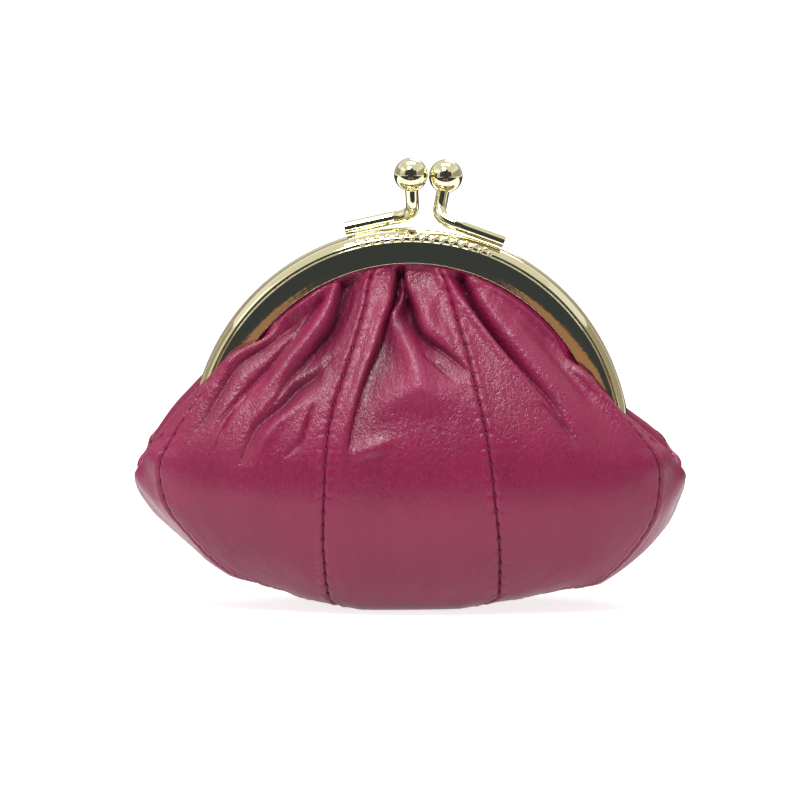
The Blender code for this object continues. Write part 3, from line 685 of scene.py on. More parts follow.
FOLDS = (
    # left panel: the deep pleat beside the seam, and the ridge that hangs over it
    Fold(((-13.0, 70), (-13.6, 65), (-14.8, 60), (-16.6, 54.7), (-20.8, 49), (-23.9, 45.4), (-26.2, 41.6),
          (-29.0, 38.6)), (-1.8, -2.2, -2.5, -2.4, -1.9, -1.2, -0.5, 0.0), 0.65, 3.4, 2.0, 0.9),
    Fold(((-14.4, 70), (-15.3, 63), (-17.6, 57), (-20.8, 52.5), (-23.6, 49.4), (-27.2, 44.6), (-31, 40)),
         (0.4, 1.0, 1.2, 1.2, 0.9, 0.6, 0.0), 1.1, 1.0),
    # left panel: the long crease, the trough above it and the rolled edge along the frame
    Fold(((-16.0, 63), (-21.4, 55.8), (-27.0, 48.6), (-30.4, 44.8), (-36, 38.6), (-39.4, 34.6)),
         (-0.5, -0.8, -0.8, -0.7, -0.5, 0.0), 0.5, 0.35, 1.3),
    Fold(((-18.0, 60.4), (-23.4, 55.6), (-29.4, 50.8), (-34.3, 47.0), (-37.4, 42.3), (-40.4, 37.2),
          (-43.6, 32.4)), (-0.4, -1.0, -1.1, -1.0, -0.8, -0.5, 0.0), 1.7, 1.5),
    Fold(((-13.8, 66.4), (-22, 60.2), (-30, 54.6), (-37.2, 48.9), (-41.4, 44.2)),
         (0.2, 0.7, 0.9, 0.8, 0.0), 1.3, 1.3),
    # left panel: the second valley, with short puckers beside it
    Fold(((-15.6, 49.4), (-18.4, 46), (-22.6, 43), (-25.8, 39.4), (-29.8, 36.0), (-31.4, 33.2),
          (-33.4, 27.8)), (-0.3, -1.0, -1.3, -1.2, -0.9, -0.6, 0.0), 1.1, 2.0),
    Fold(((-17.8, 49.4), (-17.0, 47.4), (-17.3, 44.8)), (0.1, 0.45, 0.1), 0.8, 0.9),
    Fold(((-19.2, 39.4), (-20.4, 35.8), (-21.6, 32.4), (-24.8, 29.6)),
         (-0.3, -0.5, -0.4, 0.0), 0.4, 0.5, 1.4),
    Fold(((-22.0, 40.2), (-25.6, 37.4), (-28.6, 33.2), (-30.0, 29.0)), (0.3, 0.7, 0.6, 0.0), 1.2, 1.4),
    Fold(((-29.6, 44.0), (-34.6, 38.6), (-38.0, 33.4), (-39.8, 27.4)), (0.2, 0.6, 0.5, 0.0), 1.3, 1.6),
    Fold(((-32.0, 42.0), (-36.2, 36.0), (-38.6, 30.4)), (-0.2, -0.4, 0.0), 0.4, 0.5, 1.3),
    # centre panel: the flat band beside the left seam hangs over a deep recess
    Fold(((-1.9, 70), (-2.3, 66.6), (-3.4, 60.9), (-4.9, 56.4), (-6.4, 51.3), (-8.0, 47.2), (-9.4, 43.2),
          (-11.0, 37.2), (-11.8, 32.4), (-12.2, 26.4)),
         (-1.5, -1.8, -2.5, -2.4, -2.0, -1.6, -1.2, -0.8, -0.4, 0.0), 0.55, 4.6, 2.0, 0.7),
    Fold(((-3.8, 70), (-4.8, 62), (-6.6, 55), (-9.0, 47.6), (-11.6, 40.0), (-13.4, 32.0), (-14.0, 24.0)),
         (0.3, 0.5, 0.6, 0.7, 0.6, 0.4, 0.0), 1.5, 1.3),
    # centre panel: the right pleat, whose lower edge crosses to the right seam
    Fold(((-1.7, 70), (-1.5, 66.8), (-0.5, 62.4), (0.9, 58.6), (1.9, 55.2), (3.4, 53.0), (6.2, 51.0),
          (9.0, 48.6), (12.0, 45.6)),
         (-1.0, -1.4, -2.2, -2.5, -2.2, -1.7, -1.2, -0.8, 0.0), 3.6, 0.55, 2.0, 0.7),
    Fold(((0.2, 70), (1.2, 64.0), (3.0, 58.8), (4.4, 55.6), (7.0, 53.4), (10.0, 50.6)),
         (0.3, 0.6, 0.9, 0.9, 0.6, 0.1), 1.2, 1.6),
    Fold(((-1.0, 66.0), (-1.5, 62.8), (-2.8, 59.6), (-3.4, 57.4)), (0.6, 2.2, 1.5, 0.4), 1.1, 1.3),
    Fold(((-3.4, 58.6), (-1.6, 54.6), (0.2, 50.6), (1.4, 46.0), (1.6, 40.0)),
         (1.4, 1.7, 1.6, 1.2, 0.0), 2.3, 2.6),
    Fold(((-7.4, 40.0), (-1.0, 42.6), (4.0, 42.2), (9.6, 40.0)), (0.3, 1.2, 1.3, 0.3), 3.2, 3.6),
    Fold(((-10.8, 30.6), (-7.6, 31.6), (-3.6, 33.0)), (0.6, 0.8, 0.1), 1.4, 1.6),
    Fold(((3.0, 49.6), (5.8, 47.4), (9.4, 43.6)), (-0.2, -0.4, 0.0), 0.5, 0.7, 1.4),
    # right panel: the bright ridge beside the seam and the deep pleat right of it
    Fold(((5.8, 70), (7.2, 65.6), (9.6, 61.6), (14.2, 55.6), (20.0, 48.6), (24.8, 43.2), (27.6, 39.2),
          (30.6, 34.4)), (0.4, 0.8, 1.1, 1.2, 1.1, 0.9, 0.6, 0.0), 1.2, 1.1),
    Fold(((8.6, 70), (10.2, 65.4), (12.0, 61.8), (13.6, 58.6), (17.4, 53.1), (21.2, 48.4), (24.6, 44.4),
          (28.0, 40.4), (31.0, 35.0)),
         (-1.8, -2.2, -2.6, -2.6, -2.2, -1.7, -1.2, -0.7, 0.0), 1.4, 0.8, 2.0, -0.5),
    Fold(((12.0, 66.6), (15.2, 60.4), (20.6, 54.0), (26.0, 47.6), (31.0, 41.4), (35.0, 34.6)),
         (0.6, 1.1, 1.2, 1.0, 0.7, 0.0), 2.0, 3.4),
    # right panel: the rolled edge along the frame
    Fold(((11.8, 66.4), (17.4, 63.4), (22.4, 59.8), (27.2, 55.8), (33.6, 48.9), (38.4, 43.7), (43.2, 37.6)),
         (0.2, 0.7, 0.9, 1.0, 0.9, 0.6, 0.0), 1.3, 1.4),
    Fold(((26.0, 39.6), (30.0, 36.2), (33.0, 31.2)), (-0.2, -0.5, 0.0), 0.5, 0.6, 1.4),
)
SEEN_DROP = 0.35              # the walls slope, so a valley shows this share of its depth lower down
REAR_SHARE = 0.92             # the rear has the same kind of folds, a little shallower
REAR_SHIFT = 1.6
REAR_SPREAD = 0.97            # the rear's folds stand a little further apart than the front's

LEFT_SEAM = (
    (-6.8, 67.1), (-7.5, 66.1), (-8.4, 63.3), (-9.0, 59.5), (-9.8, 56.7), (-11.0, 52.3), (-13.0, 46.1),
    (-14.8, 40.7), (-16.0, 35.5), (-16.6, 29.5), (-17.0, 20.3), (-17.2, 12.7), (-16.8, 4.9), (-16.2, 0.7),
)
RIGHT_SEAM = (
    (5.6, 66.7), (6.8, 64.9), (7.6, 62.6), (8.8, 58.9), (9.8, 55.3), (11.2, 50.7), (12.2, 46.7),
    (13.4, 41.3), (14.8, 35.1), (15.8, 28.7), (16.6, 21.5), (17.4, 14.1), (17.7, 8.3), (17.7, 1.1),
)
SEAMS = (-GUSSET_SEAM, -CENTRE_SEAM, CENTRE_SEAM, GUSSET_SEAM)
VALLEY_LINE = 0.30            # each valley has a fine line at its bottom, this deep in a valley of 1 mm
VALLEY_LINE_WIDTH = 0.42
TUCK_WIDTH = 0.9
TUCK_DEPTH = 2.7              # a fold this deep is drawn over its neighbour by the whole of its tuck
GATHERS = ((0.22, 2.6, 11), (0.10, 1.2, 6))            # height, degrees apart and length
WAVES = (                     # height, degrees apart, length, and where in the noise they start
    (0.24, 8, 22, 5, 0), (0.08, 3.2, 9, 0, 3), (0.03, 1.3, 3, 0, 0),
)
END_FOLD_HEIGHT = 0.55
END_FOLDS = 9                 # below each hinge, to a full turn
GROOVE_WIDTH = 0.30
SEAM_LIP = (0.16, 1.0, 0.6)   # height, distance from the seam and width of the lips beside it


def seen_height(points):
    """How high points appear from a camera on their side of the bag, over the table below its middle."""
    return points[..., 2] * math.cos(VIEW_ELEVATION) - np.abs(points[..., 1]) * math.sin(VIEW_ELEVATION)


def near_route(x, height, route):
    """Signed distance of places from a smooth route, the share along it and its heading there."""
    line = through(np.array([[(*p, 0.0) for p in route]], float), 4)[0][:, :2]
    lengths = np.concatenate([[0], np.cumsum(np.linalg.norm(np.diff(line, axis=0), axis=1))])
    best = np.full(x.shape, 1e9)
    side = np.zeros(x.shape)
    share = np.zeros(x.shape)
    heading = np.zeros((*x.shape, 2))
    for (a, b, start, end) in zip(line, line[1:], lengths, lengths[1:]):
        way = b - a
        t = np.clip(((x - a[0]) * way[0] + (height - a[1]) * way[1]) / (way @ way), 0, 1)
        off_x, off_h = x - a[0] - t * way[0], height - a[1] - t * way[1]
        distance = np.hypot(off_x, off_h)
        closer = distance < best
        best = np.where(closer, distance, best)
        side = np.where(closer, np.sign(way[0] * off_h - way[1] * off_x), side)
        share = np.where(closer, lerp(start, end, t) / lengths[-1], share)
        for axis in (0, 1):
            heading[..., axis] = np.where(closer, way[axis] / math.sqrt(way @ way), heading[..., axis])
    return best * side, share, heading


def fold_field(x, height):
    """Push along the normal and sideways shift, in the view's plane, that the folds give each place."""
    push = np.zeros(x.shape)
    shift = np.zeros((*x.shape, 2))
    for fold in FOLDS:
        stops = np.linspace(0, 1, len(fold.heights))
        levels = np.interp(np.linspace(0, 1, len(fold.route)), stops, fold.heights)
        route = [(across, up - SEEN_DROP * level) for (across, up), level in zip(fold.route, levels)]
        offset, share, heading = near_route(x, height, route)
        amount = np.interp(share, stops, fold.heights)
        # routes run downwards, so a positive offset lies on the right as the bag is seen
        width = np.where(offset > 0, fold.right, fold.left)
        push += amount * np.exp(-(np.abs(offset) / width) ** fold.shape)
        valley = np.exp(-(np.abs(offset) / VALLEY_LINE_WIDTH) ** 1.5)
        push -= VALLEY_LINE * np.sqrt(np.maximum(-amount, 0)) * valley
        if fold.tuck:
            across = np.stack([-heading[..., 1], heading[..., 0]], axis=-1)
            lip = -0.9 * fold.left if fold.tuck > 0 and fold.left < fold.right else 0.9 * fold.right
            strength = -np.sign(lip) * np.abs(fold.tuck * amount) / TUCK_DEPTH
            shift += across * (strength * np.exp(-(((offset - lip) / TUCK_WIDTH) ** 2)))[..., None]
    return push, shift


def lattice_noise(x, y, seed):
    """Smooth noise from -1 to 1 with one bump a unit."""
    values = np.random.default_rng(seed).uniform(-1, 1, (64, 64))
    column, row = np.floor(x).astype(int), np.floor(y).astype(int)
    across, up = smoothstep(x - column), smoothstep(y - row)
    corners = [values[(column + i) % 64, (row + j) % 64] for i in (0, 1) for j in (0, 1)]
    return lerp(lerp(corners[0], corners[1], up), lerp(corners[2], corners[3], up), across)


def crumples(points, in_view, seed):
    """Soft waves everywhere and fine gathers that fan out from the frame."""
    x, y, z = np.moveaxis(points, -1, 0)
    radius = from_arch(points)
    turn = np.degrees(np.arctan2(x, z - HINGE_HEIGHT + 20))
    bent = turn + 3.0 * lattice_noise(radius / 9, turn / 20 + 7, seed)
    near = np.exp(-np.maximum(0, in_view - 4) / 7)
    gathers, waves = 0.0, 0.0
    for place, (high, apart, length) in enumerate(GATHERS):
        gathers += high * lattice_noise(bent / apart, radius / length, seed + 1 + place) * near
    around = np.degrees(np.arctan2(x, np.abs(y) + 8))
    for place, (high, apart, length, turned, raised) in enumerate(WAVES):
        waves += high * lattice_noise(around / apart + turned, z / length + raised, seed + 3 + place)
    return gathers + waves * smoothstep(z / 6)


def end_gathers(points):
    """Folds that fan out below each hinge, on the ends of the bag."""
    x, y, z = np.moveaxis(points, -1, 0)
    drop, away = HINGE_HEIGHT + 2 - z, np.hypot(y, HINGE_HEIGHT - z)
    turn = np.arctan2(y, np.maximum(drop, 0.5))
    mask = smoothstep((np.abs(x) - 40) / 8) * smoothstep((away - 3) / 5)
    return END_FOLD_HEIGHT * np.cos(END_FOLDS * turn + 0.8) * mask * np.exp(-np.maximum(0, away - 9) / 8)


def seam_push(distance, along, sizes):
    """A seam's groove, the notch that each stitch pulls in it and the two puckered lips beside it."""
    notch = np.maximum(0.0, np.cos(2 * math.pi * along / (sizes.stitch / MM))) ** 3
    groove = -(sizes.seam_depth / MM) * (0.7 + 0.8 * notch) * np.exp(-((distance / GROOVE_WIDTH) ** 1.5))
    height, away, width = SEAM_LIP
    return groove + (height - 0.12 * notch) * np.exp(-(((distance - away) / width) ** 2))


def seam_shift(angles, surface, rows):
    """Moves the columns sideways so that the two long seams run down their routes."""
    anchors = np.array([-90.0, *SEAMS, 90.0])
    moves = np.zeros((len(anchors), rows + 1))
    for place, route in ((2, LEFT_SEAM), (3, RIGHT_SEAM)):
        line = plain_surface(anchors[place : place + 1], rows)[0]
        across, up = np.array(route[::-1]).T
        free = smoothstep((LIP + 0.5 - from_arch(line)) / 2 + (line[:, 2] < 32)) * smoothstep(line[:, 2] / 3)
        moves[place] = (np.interp(seen_height(line), up, across) - line[:, 0]) * free
    shares, own = round_oval(anchors)[0], round_oval(angles)[0]
    for row in range(rows + 1):
        surface[:, row, 0] += np.interp(own, shares, moves[:, row])


def ironed(points, share, passes=40):
    """Points eased along and across the grid where share is above 0. The edges stay."""
    for _ in range(passes):
        around = points[:-2, 1:-1] + points[2:, 1:-1] + points[1:-1, :-2] + points[1:-1, 2:]
        points[1:-1, 1:-1] += 0.7 * share[1:-1, 1:-1, None] * (around / 4 - points[1:-1, 1:-1])
    return points


def leather_surface(angles, side, seams=True):
    """Outer points of the leather for columns at these angles, and how far each is pushed in or out."""
    sizes = bpy.context.scene.purse_leather
    plain = plain_surface(angles, sizes.rows)
    seam_shift(angles, plain, sizes.rows)
    normal = normals_of(plain)
    x, z = plain[..., 0], plain[..., 2]
    view_x = x if side < 0 else REAR_SHIFT - REAR_SPREAD * x
    push, shift = fold_field(view_x, seen_height(plain))
    in_view = lengths_down(plain) - hidden_length(angles)[:, None]
    free = smoothstep((in_view - 0.1) / 1.6)
    strength = sizes.fold_strength * (1.0 if side < 0 else REAR_SHARE)
    push = push * free * strength + crumples(plain, in_view, 3 if side < 0 else 40) * free
    swell = np.exp(-(((z - END_BULGE_HEIGHT) / 4) ** 2)) * smoothstep((np.abs(x) - 44) / 6)
    push = (push + (end_gathers(plain) + END_BULGE * swell) * free) * smoothstep((z - 2) / 6)
    shift = shift * (free * strength)[..., None]
    # the relief sets the leather's painted shade in hollows and painted highlight on crests
    relief = push.copy()
    sideways = np.stack([-side * shift[..., 0], 0 * push, shift[..., 1]], axis=-1)
    sideways -= normal * np.sum(sideways * normal, axis=2, keepdims=True)
    for seam in (SEAMS[-1] - 180, *SEAMS, SEAMS[0] + 180):
        near = np.abs(angles - seam) < 12
        if seams and near.any():
            edge = np.clip(np.array([float(seam)]), angles.min(), angles.max())
            line = plain_surface(edge, sizes.rows)
            seam_shift(edge, line, sizes.rows)
            distance = np.linalg.norm(plain[near] - line, axis=2)
            dip = seam_push(distance, lengths_down(line), sizes) * free[near]
            push[near] += dip
            # the seam's groove is painted darker too, as shade
            relief[near] += 0.8 * dip
    points = plain + normal * push[..., None] + sideways
    low = smoothstep(1 - z / SAG_HEIGHT)
    points[..., 2] = np.maximum(points[..., 2] + low * np.interp(x, *zip(*SAG)), 0.0)
    points[..., 1] *= -side
    return points, relief


def even_angles(low, high, step):
    """Angles between two seams, about step millimetres apart along the belly."""
    first, last = round_oval(low)[0], round_oval(high)[0]
    count = max(8, int(round(abs(last - first) * BELLY[0] * RUN_TO_CHORD / step)))
    return belly_angle(np.linspace(first, last, count + 1))


def filled_grid(name, points, relief):
    """A grid primitive whose vertices are moved to these points, with the relief kept for its painted shade
    and highlight.
    """
    columns, rows = points.shape[0] - 1, points.shape[1] - 1
    deselect()
    bpy.ops.mesh.primitive_grid_add(x_subdivisions=columns, y_subdivisions=rows, size=1.0)
    obj = named(name)
    mesh = obj.data
    flat = np.empty(len(mesh.vertices) * 3)
    mesh.vertices.foreach_get("co", flat)
    flat = flat.reshape(-1, 3)
    column = np.rint((flat[:, 0] + 0.5) * columns).astype(int)
    row = np.rint((0.5 - flat[:, 1]) * rows).astype(int)
    mesh.vertices.foreach_set("co", (points[column, row] * MM).ravel())
    kept = mesh.attributes.new("relief", "FLOAT", "POINT")
    kept.data.foreach_set("value", np.clip(0.5 + relief[column, row] / RELIEF_RANGE, 0, 1).astype(np.float32))
    mesh.update()
    return obj


def thickened(obj, thickness):
    apply_modifier(obj, "SOLIDIFY", thickness=thickness, offset=-1.0, use_even_offset=False)
    activate(obj)
    bpy.ops.object.shade_smooth_by_angle(angle=math.radians(50))
    return obj


def opened(points, gap, edges):
    """Moves the outer columns of a panel off their seams by half the seam's gap."""
    for edge, inner in edges:
        points[edge] += unit(points[inner] - points[edge]) * gap / 2
    return points


def leather_panel(name, low, high, side):
    """One panel of the front (side -1) or rear (side 1), between the seams at two angles."""
    sizes = bpy.context.scene.purse_leather
    points, relief = leather_surface(even_angles(low, high, sizes.column_step / MM), side)
    points = opened(points, SEAM_GAP, ((0, 2), (-1, -3)))
    return thickened(filled_grid(name, points[::-side], relief[::-side]), sizes.thickness)


def gusset_half(name, hand, side):
    """The front or rear half of an end panel, from its seam to the middle of the bag's end."""
    sizes = bpy.context.scene.purse_leather
    step = (89.999 - GUSSET_SEAM) / GUSSET_COLUMNS
    angles = hand * (GUSSET_SEAM + 0.001 + step * np.arange(GUSSET_COLUMNS + 3))
    points, relief = leather_surface(angles[::hand], side)
    points, relief = points[::hand][:-2], relief[::hand][:-2]
    seen = lengths_down(points) - hidden_length(angles[:-2])[:, None]
    points = ironed(points, smoothstep((seen + 4) / 3) * smoothstep((12 - seen) / 5))
    points = opened(points, SEAM_GAP, ((0, 2),))
    points[-1, :, 1] = 0.0
    order = -hand * side
    return thickened(
        filled_grid(name, points[::order], relief[::order]), GUSSET_SKIVE * sizes.thickness
    )


class PURSE_OT_leather_panels(bpy.types.Operator):
    """Lays the six gathered panels of the front and rear"""

    bl_idname = "purse.leather_panels"
    bl_label = "Leather panels"

    def execute(self, context):
        for side, word in HALVES:
            for place, low, high in zip(("left", "centre", "right"), SEAMS, SEAMS[1:]):
                obj = leather_panel(f"{word}_{place}_leather", low, high, side)
                hang(obj, "leather", f"{word}_half", f"{word}_{place}_panel")
        return {"FINISHED"}


class PURSE_OT_gussets(bpy.types.Operator):
    """Lays the end panels, each as a front and a rear half"""

    bl_idname = "purse.gussets"
    bl_label = "Gussets"

    def execute(self, context):
        for hand, place in ENDS:
            for side, word in HALVES:
                obj = gusset_half(f"{place}_gusset_{word}", hand, side)
                hang(obj, "leather", f"{word}_half", f"{place}_gusset")
        return {"FINISHED"}


LINING_ROWS = 100
LINING_COLUMNS = 150
LINING_THICKNESS = 0.0003
LINING_GAP = 0.45             # the lining hangs this far inside the leather
LINING_START = 9              # at the rolled ends it starts this much further down the leather
LINING_REACH = 0.97           # how far round the bag it goes, as a share of the half-length
LINING_LIFT = 0.3             # over the leather at the bottom of the bag
LINING_APART = 1.0            # each lining stays this far from the middle of the bag


class PURSE_OT_linings(bpy.types.Operator):
    """Hangs the woven lining inside the leather of each half"""

    bl_idname = "purse.linings"
    bl_label = "Linings"

    def execute(self, context):
        leather = context.scene.purse_leather.thickness / MM
        angles = belly_angle(np.linspace(-LINING_REACH, LINING_REACH, LINING_COLUMNS))
        for side, word in HALVES:
            points, _ = leather_surface(angles, side, seams=False)
            rolled = overhang(angles)[1] * (hidden_length(angles) + LINING_START)
            points = resampled(points, LINING_ROWS, rolled)
            points = points + side * normals_of(points) * (leather + LINING_GAP)
            lowest = bottom_height(points[..., 0]) + leather + LINING_LIFT
            points[..., 2] = np.maximum(points[..., 2], lowest)
            points[..., 1] = -side * np.minimum(-side * points[..., 1], -LINING_APART)
            grid = filled_grid(f"{word}_lining_cloth", points[::-side], 0 * lowest)
            hang(thickened(grid, LINING_THICKNESS), "lining", f"{word}_half", f"{word}_lining")
        return {"FINISHED"}


THREAD_RADIUS = 0.00015
THREAD_SINK = 0.5             # the thread lies this far below the bottom of its groove
STITCH_SINK = 0.25            # the stitches lie this far below the leather's own surface
STITCH_START = 9              # the first stitch shows this far down past the metal and the roll
STITCH_END = 1.6              # and the last one this far above the sag of the bottom
STITCH_SHAPE = (1.3, 3.6, 1.3, 1.0)    # of a ball as thick as the thread: wide, long, high
STITCH_SLANT = math.radians(24)


def thread_path(angle, side):
    """A seam's thread line inside the slit, and the places and directions of its stitches in the groove."""
    sizes = bpy.context.scene.purse_leather
    points, _ = leather_surface(angle + np.array([-1.5, 0.0, 1.5]), side, seams=False)
    outward = -side * normals_of(points)[1]
    own = points[1]
    shown = lengths_down(points)[1] > hidden_length(np.array([angle])) + STITCH_START
    shown &= own[:, 2] > STITCH_END + np.interp(own[:, 0], *zip(*SAG))
    line = own - outward * (sizes.seam_depth / MM + THREAD_SINK)
    plain = plain_surface(np.array([angle]), sizes.rows)
    seam_shift(np.array([angle]), plain, sizes.rows)
    along = lengths_down(plain)[0]
    pitch = sizes.stitch / MM
    rows = np.searchsorted(along, np.arange(1, along[-1] // pitch) * pitch)
    rows = rows[shown[rows]]
    places = own[rows] - outward[rows] * STITCH_SINK
    return line[shown][::2] * MM, zip(places * MM, own[rows + 2] - own[rows - 2], outward[rows])


def stitched_thread(name, line, stitches):
    """The thread in a seam with its stitches: one is modelled, and the others are its copies."""
    thread = tube_along(name, line, THREAD_RADIUS, 2)
    stitch = sphere("stitch", THREAD_RADIUS, 8, 6)
    copies = []
    for place, way, out in stitches:
        turned = Vector(way).to_track_quat("Y", "Z").to_matrix().to_4x4()
        seat = Matrix.Translation(place) @ Matrix.Rotation(STITCH_SLANT, 4, Vector(out))
        copies.append(copied(stitch, seat @ turned @ Matrix.Diagonal(STITCH_SHAPE)))
    bpy.data.objects.remove(stitch)
    return join(thread, copies)


class PURSE_OT_seam_threads(bpy.types.Operator):
    """Runs the sewing thread down in every seam, with its stitches"""

    bl_idname = "purse.seam_threads"
    bl_label = "Seam threads"

    def execute(self, context):
        for hand, place in ENDS:
            for side, word in HALVES:
                for seam, name, node in (
                    (CENTRE_SEAM, f"{word}_{place}_seam_stitches", f"{word}_{place}_seam_thread"),
                    (GUSSET_SEAM, f"{place}_gusset_{word}_stitches", f"{place}_gusset_thread"),
                ):
                    obj = stitched_thread(name, *thread_path(hand * seam, side))
                    hang(obj, "thread", f"{word}_half", node)
        reach = BASE[0] * round_oval(GUSSET_SEAM_FOOT)[0] - 2
        line = np.array([(x, 0.0, bottom_height(x) + 0.5) for x in np.linspace(-reach, reach, 40)])
        obj = tube_along("base_seam_stitches", line * MM, THREAD_RADIUS, 2)
        dress(obj, "thread", "bag", "base_seam_thread")
        return {"FINISHED"}


# Metal, in metres

HALF_GAP = 0.0003             # between the mating faces of the two halves
BEVEL_DROP = 0.0018           # crown to the crease between the shoulder and the outer face
CROWN_SHARE = 0.30            # of the channel's width: from the mating face to the top of the section
EDGE_SHARE = 0.16             # of the channel's width: how deep the rounded mating edge runs
CREASE = 0.0002
FACE_CROWN = 0.00005          # the outer face is pressed this much out in its middle
CHANNEL_END = math.radians(5.0)
EAR_RADIUS = 0.0030
EAR_SHEET = 0.0007
EAR_GAP = 0.0003
EAR_INSET = 0.0004            # the outer ears lie this far inside the arch's radius
EAR_BEVEL = 0.00012
NECK_HALF_WIDTH = 0.0034
RIVET_RADIUS = 0.0010
RIVET_HEAD = 0.0019
RIVET_DOME = 0.0008
RIVET_TIP = 1e-7              # a turned end closes on a ring this small, which is then merged
HEAD_GAP = 0.0002
BEAD_RADIUS = 0.0005
BEAD_HEIGHT = 0.6             # share of its radius that a bead stands out
BEAD_ROWS = ((57.0, 1.0, -0.25), (79.0, 0.8, 0.25))    # degrees round the shoulder, width, stagger in beads


def shoulder_sizes(metal):
    """Where the shoulder starts, measured from the mating face, and how far out it runs."""
    crown = CROWN_SHARE * metal.channel_width
    return crown, metal.channel_width - CREASE - crown


def channel_outline(metal):
    """Section of one channel: (depth below the crown, distance from the mating face)."""
    width, sheet = metal.channel_width, metal.sheet
    crown, shoulder = shoulder_sizes(metal)
    edge, mating_edge = 0.2 * sheet, EDGE_SHARE * width
    inner_depth = metal.channel_depth - sheet
    points = [(inner_depth, 0.0), (mating_edge + edge, 0.0)]
    points += arc((mating_edge, crown), (mating_edge, crown), 270, 180, 8)
    points += arc((BEVEL_DROP, crown), (BEVEL_DROP, shoulder), 180, 90, 16)[1:]
    points += [(BEVEL_DROP + 0.5 * CREASE, width - 1.2 * CREASE), (BEVEL_DROP + CREASE, width - 0.4 * CREASE)]
    points += [(BEVEL_DROP + 1.4 * CREASE, width)]
    face = np.linspace(BEVEL_DROP + 1.9 * CREASE, metal.channel_depth - 2 * edge, 9)
    points += [(depth, width + FACE_CROWN * (1 - t**2)) for depth, t in zip(face, np.linspace(-1, 1, 9))]
    points += arc((metal.channel_depth - edge, width - edge), (edge, edge), 90, 0, 4)
    points += arc((metal.channel_depth - edge, width - sheet + edge), (edge, edge), 0, -90, 4)
    points += [(BEVEL_DROP + sheet, width - sheet)]
    points += arc((BEVEL_DROP + sheet, crown), (BEVEL_DROP, shoulder - sheet), 90, 180, 8)[1:]
    points += arc((sheet + mating_edge, crown), (mating_edge, crown - sheet), 180, 270, 5)[1:]
    points += [(inner_depth, sheet)]
    return points


def frame_channel(name, side, metal):
    ring = []
    for depth, out in channel_outline(metal):
        radius = metal.crown_radius - depth
        y = side * (HALF_GAP / 2 + out)
        ring.append((radius * math.cos(CHANNEL_END), y, radius * math.sin(CHANNEL_END)))
    obj = outline(name, ring)
    bpy.ops.mesh.spin(
        steps=170, angle=math.pi - 2 * CHANNEL_END, center=(0, 0, 0), axis=(0, 1, 0), use_auto_merge=False
    )
    bpy.ops.mesh.select_all(action="DESELECT")
    bpy.ops.mesh.select_non_manifold()
    bpy.ops.mesh.fill()
    return closed(obj, 30.0)


def ear_place(side, metal):
    """Low and high |x| of an ear: the front half's ears are the outer pair."""
    high = metal.crown_radius - EAR_INSET - (EAR_SHEET + EAR_GAP if side > 0 else 0)
    return high - EAR_SHEET, high


def hinge_ear(name, side, hand, metal):
    """A rounded tab round the hinge axis with a neck up into the end of the channel."""
    low, high = ear_place(side, metal)
    foot = metal.crown_radius * math.sin(CHANNEL_END)
    top = foot + 3 * metal.sheet
    edge = [(side * NECK_HALF_WIDTH, top), (side * NECK_HALF_WIDTH, foot)]
    edge += [(-side * y, z) for y, z in arc((0, 0), (EAR_RADIUS, EAR_RADIUS), 165, 405, 40)]
    edge += [(side * (HALF_GAP / 2 + metal.sheet), top)]
    obj = outline(name, [(hand * low, y, z) for y, z in edge])
    bpy.ops.mesh.edge_face_add()
    bpy.ops.mesh.extrude_region_move(TRANSFORM_OT_translate={"value": (hand * (high - low), 0, 0)})
    closed(obj)
    apply_modifier(obj, "BEVEL", width=EAR_BEVEL, segments=2, limit_method="ANGLE")
    return obj


def bead_rows(name, side, metal):
    """Two staggered rows of small domes raised on the shoulder over the middle of the arch."""
    bead = sphere(name, BEAD_RADIUS, 14, 8)
    crown, shoulder = shoulder_sizes(metal)
    copies = []
    for slope, across, stagger in BEAD_ROWS:
        turn = math.radians(slope)
        drop = BEVEL_DROP * (1 - math.cos(turn))
        y = side * (HALF_GAP / 2 + crown + shoulder * math.sin(turn))
        lean = math.atan2(BEVEL_DROP * math.sin(turn), shoulder * math.cos(turn))
        dome = Matrix.Rotation(-side * lean, 4, "X") @ Matrix.Diagonal((1.2, across, BEAD_HEIGHT, 1.0))
        for place in range(metal.beads):
            along = (place - (metal.beads - 1) / 2 + stagger) * metal.bead_pitch
            seat = Matrix.Translation((0, y, metal.crown_radius - drop)) @ dome
            copies.append(copied(bead, Matrix.Rotation(along / metal.crown_radius, 4, "Y") @ seat))
    bpy.data.objects.remove(bead)
    first = copies.pop()
    first.name = name
    return join(first, copies)


class PURSE_OT_frame_halves(bpy.types.Operator):
    """Bends the two channels of the frame, with their ears and embossed beads"""

    bl_idname = "purse.frame_halves"
    bl_label = "Frame halves"

    def execute(self, context):
        metal = context.scene.purse_metal
        for side, word in HALVES:
            channel = frame_channel(f"{word}_frame_channel", side, metal)
            join(channel, [hinge_ear(f"{word}_ear", side, hand, metal) for hand, _ in ENDS])
            dress(on_frame(channel), "gold", f"{word}_half", f"{word}_frame")
            beads = bead_rows(f"{word}_frame_beads", side, metal)
            dress(on_frame(beads), "gold", f"{word}_half")
        return {"FINISHED"}


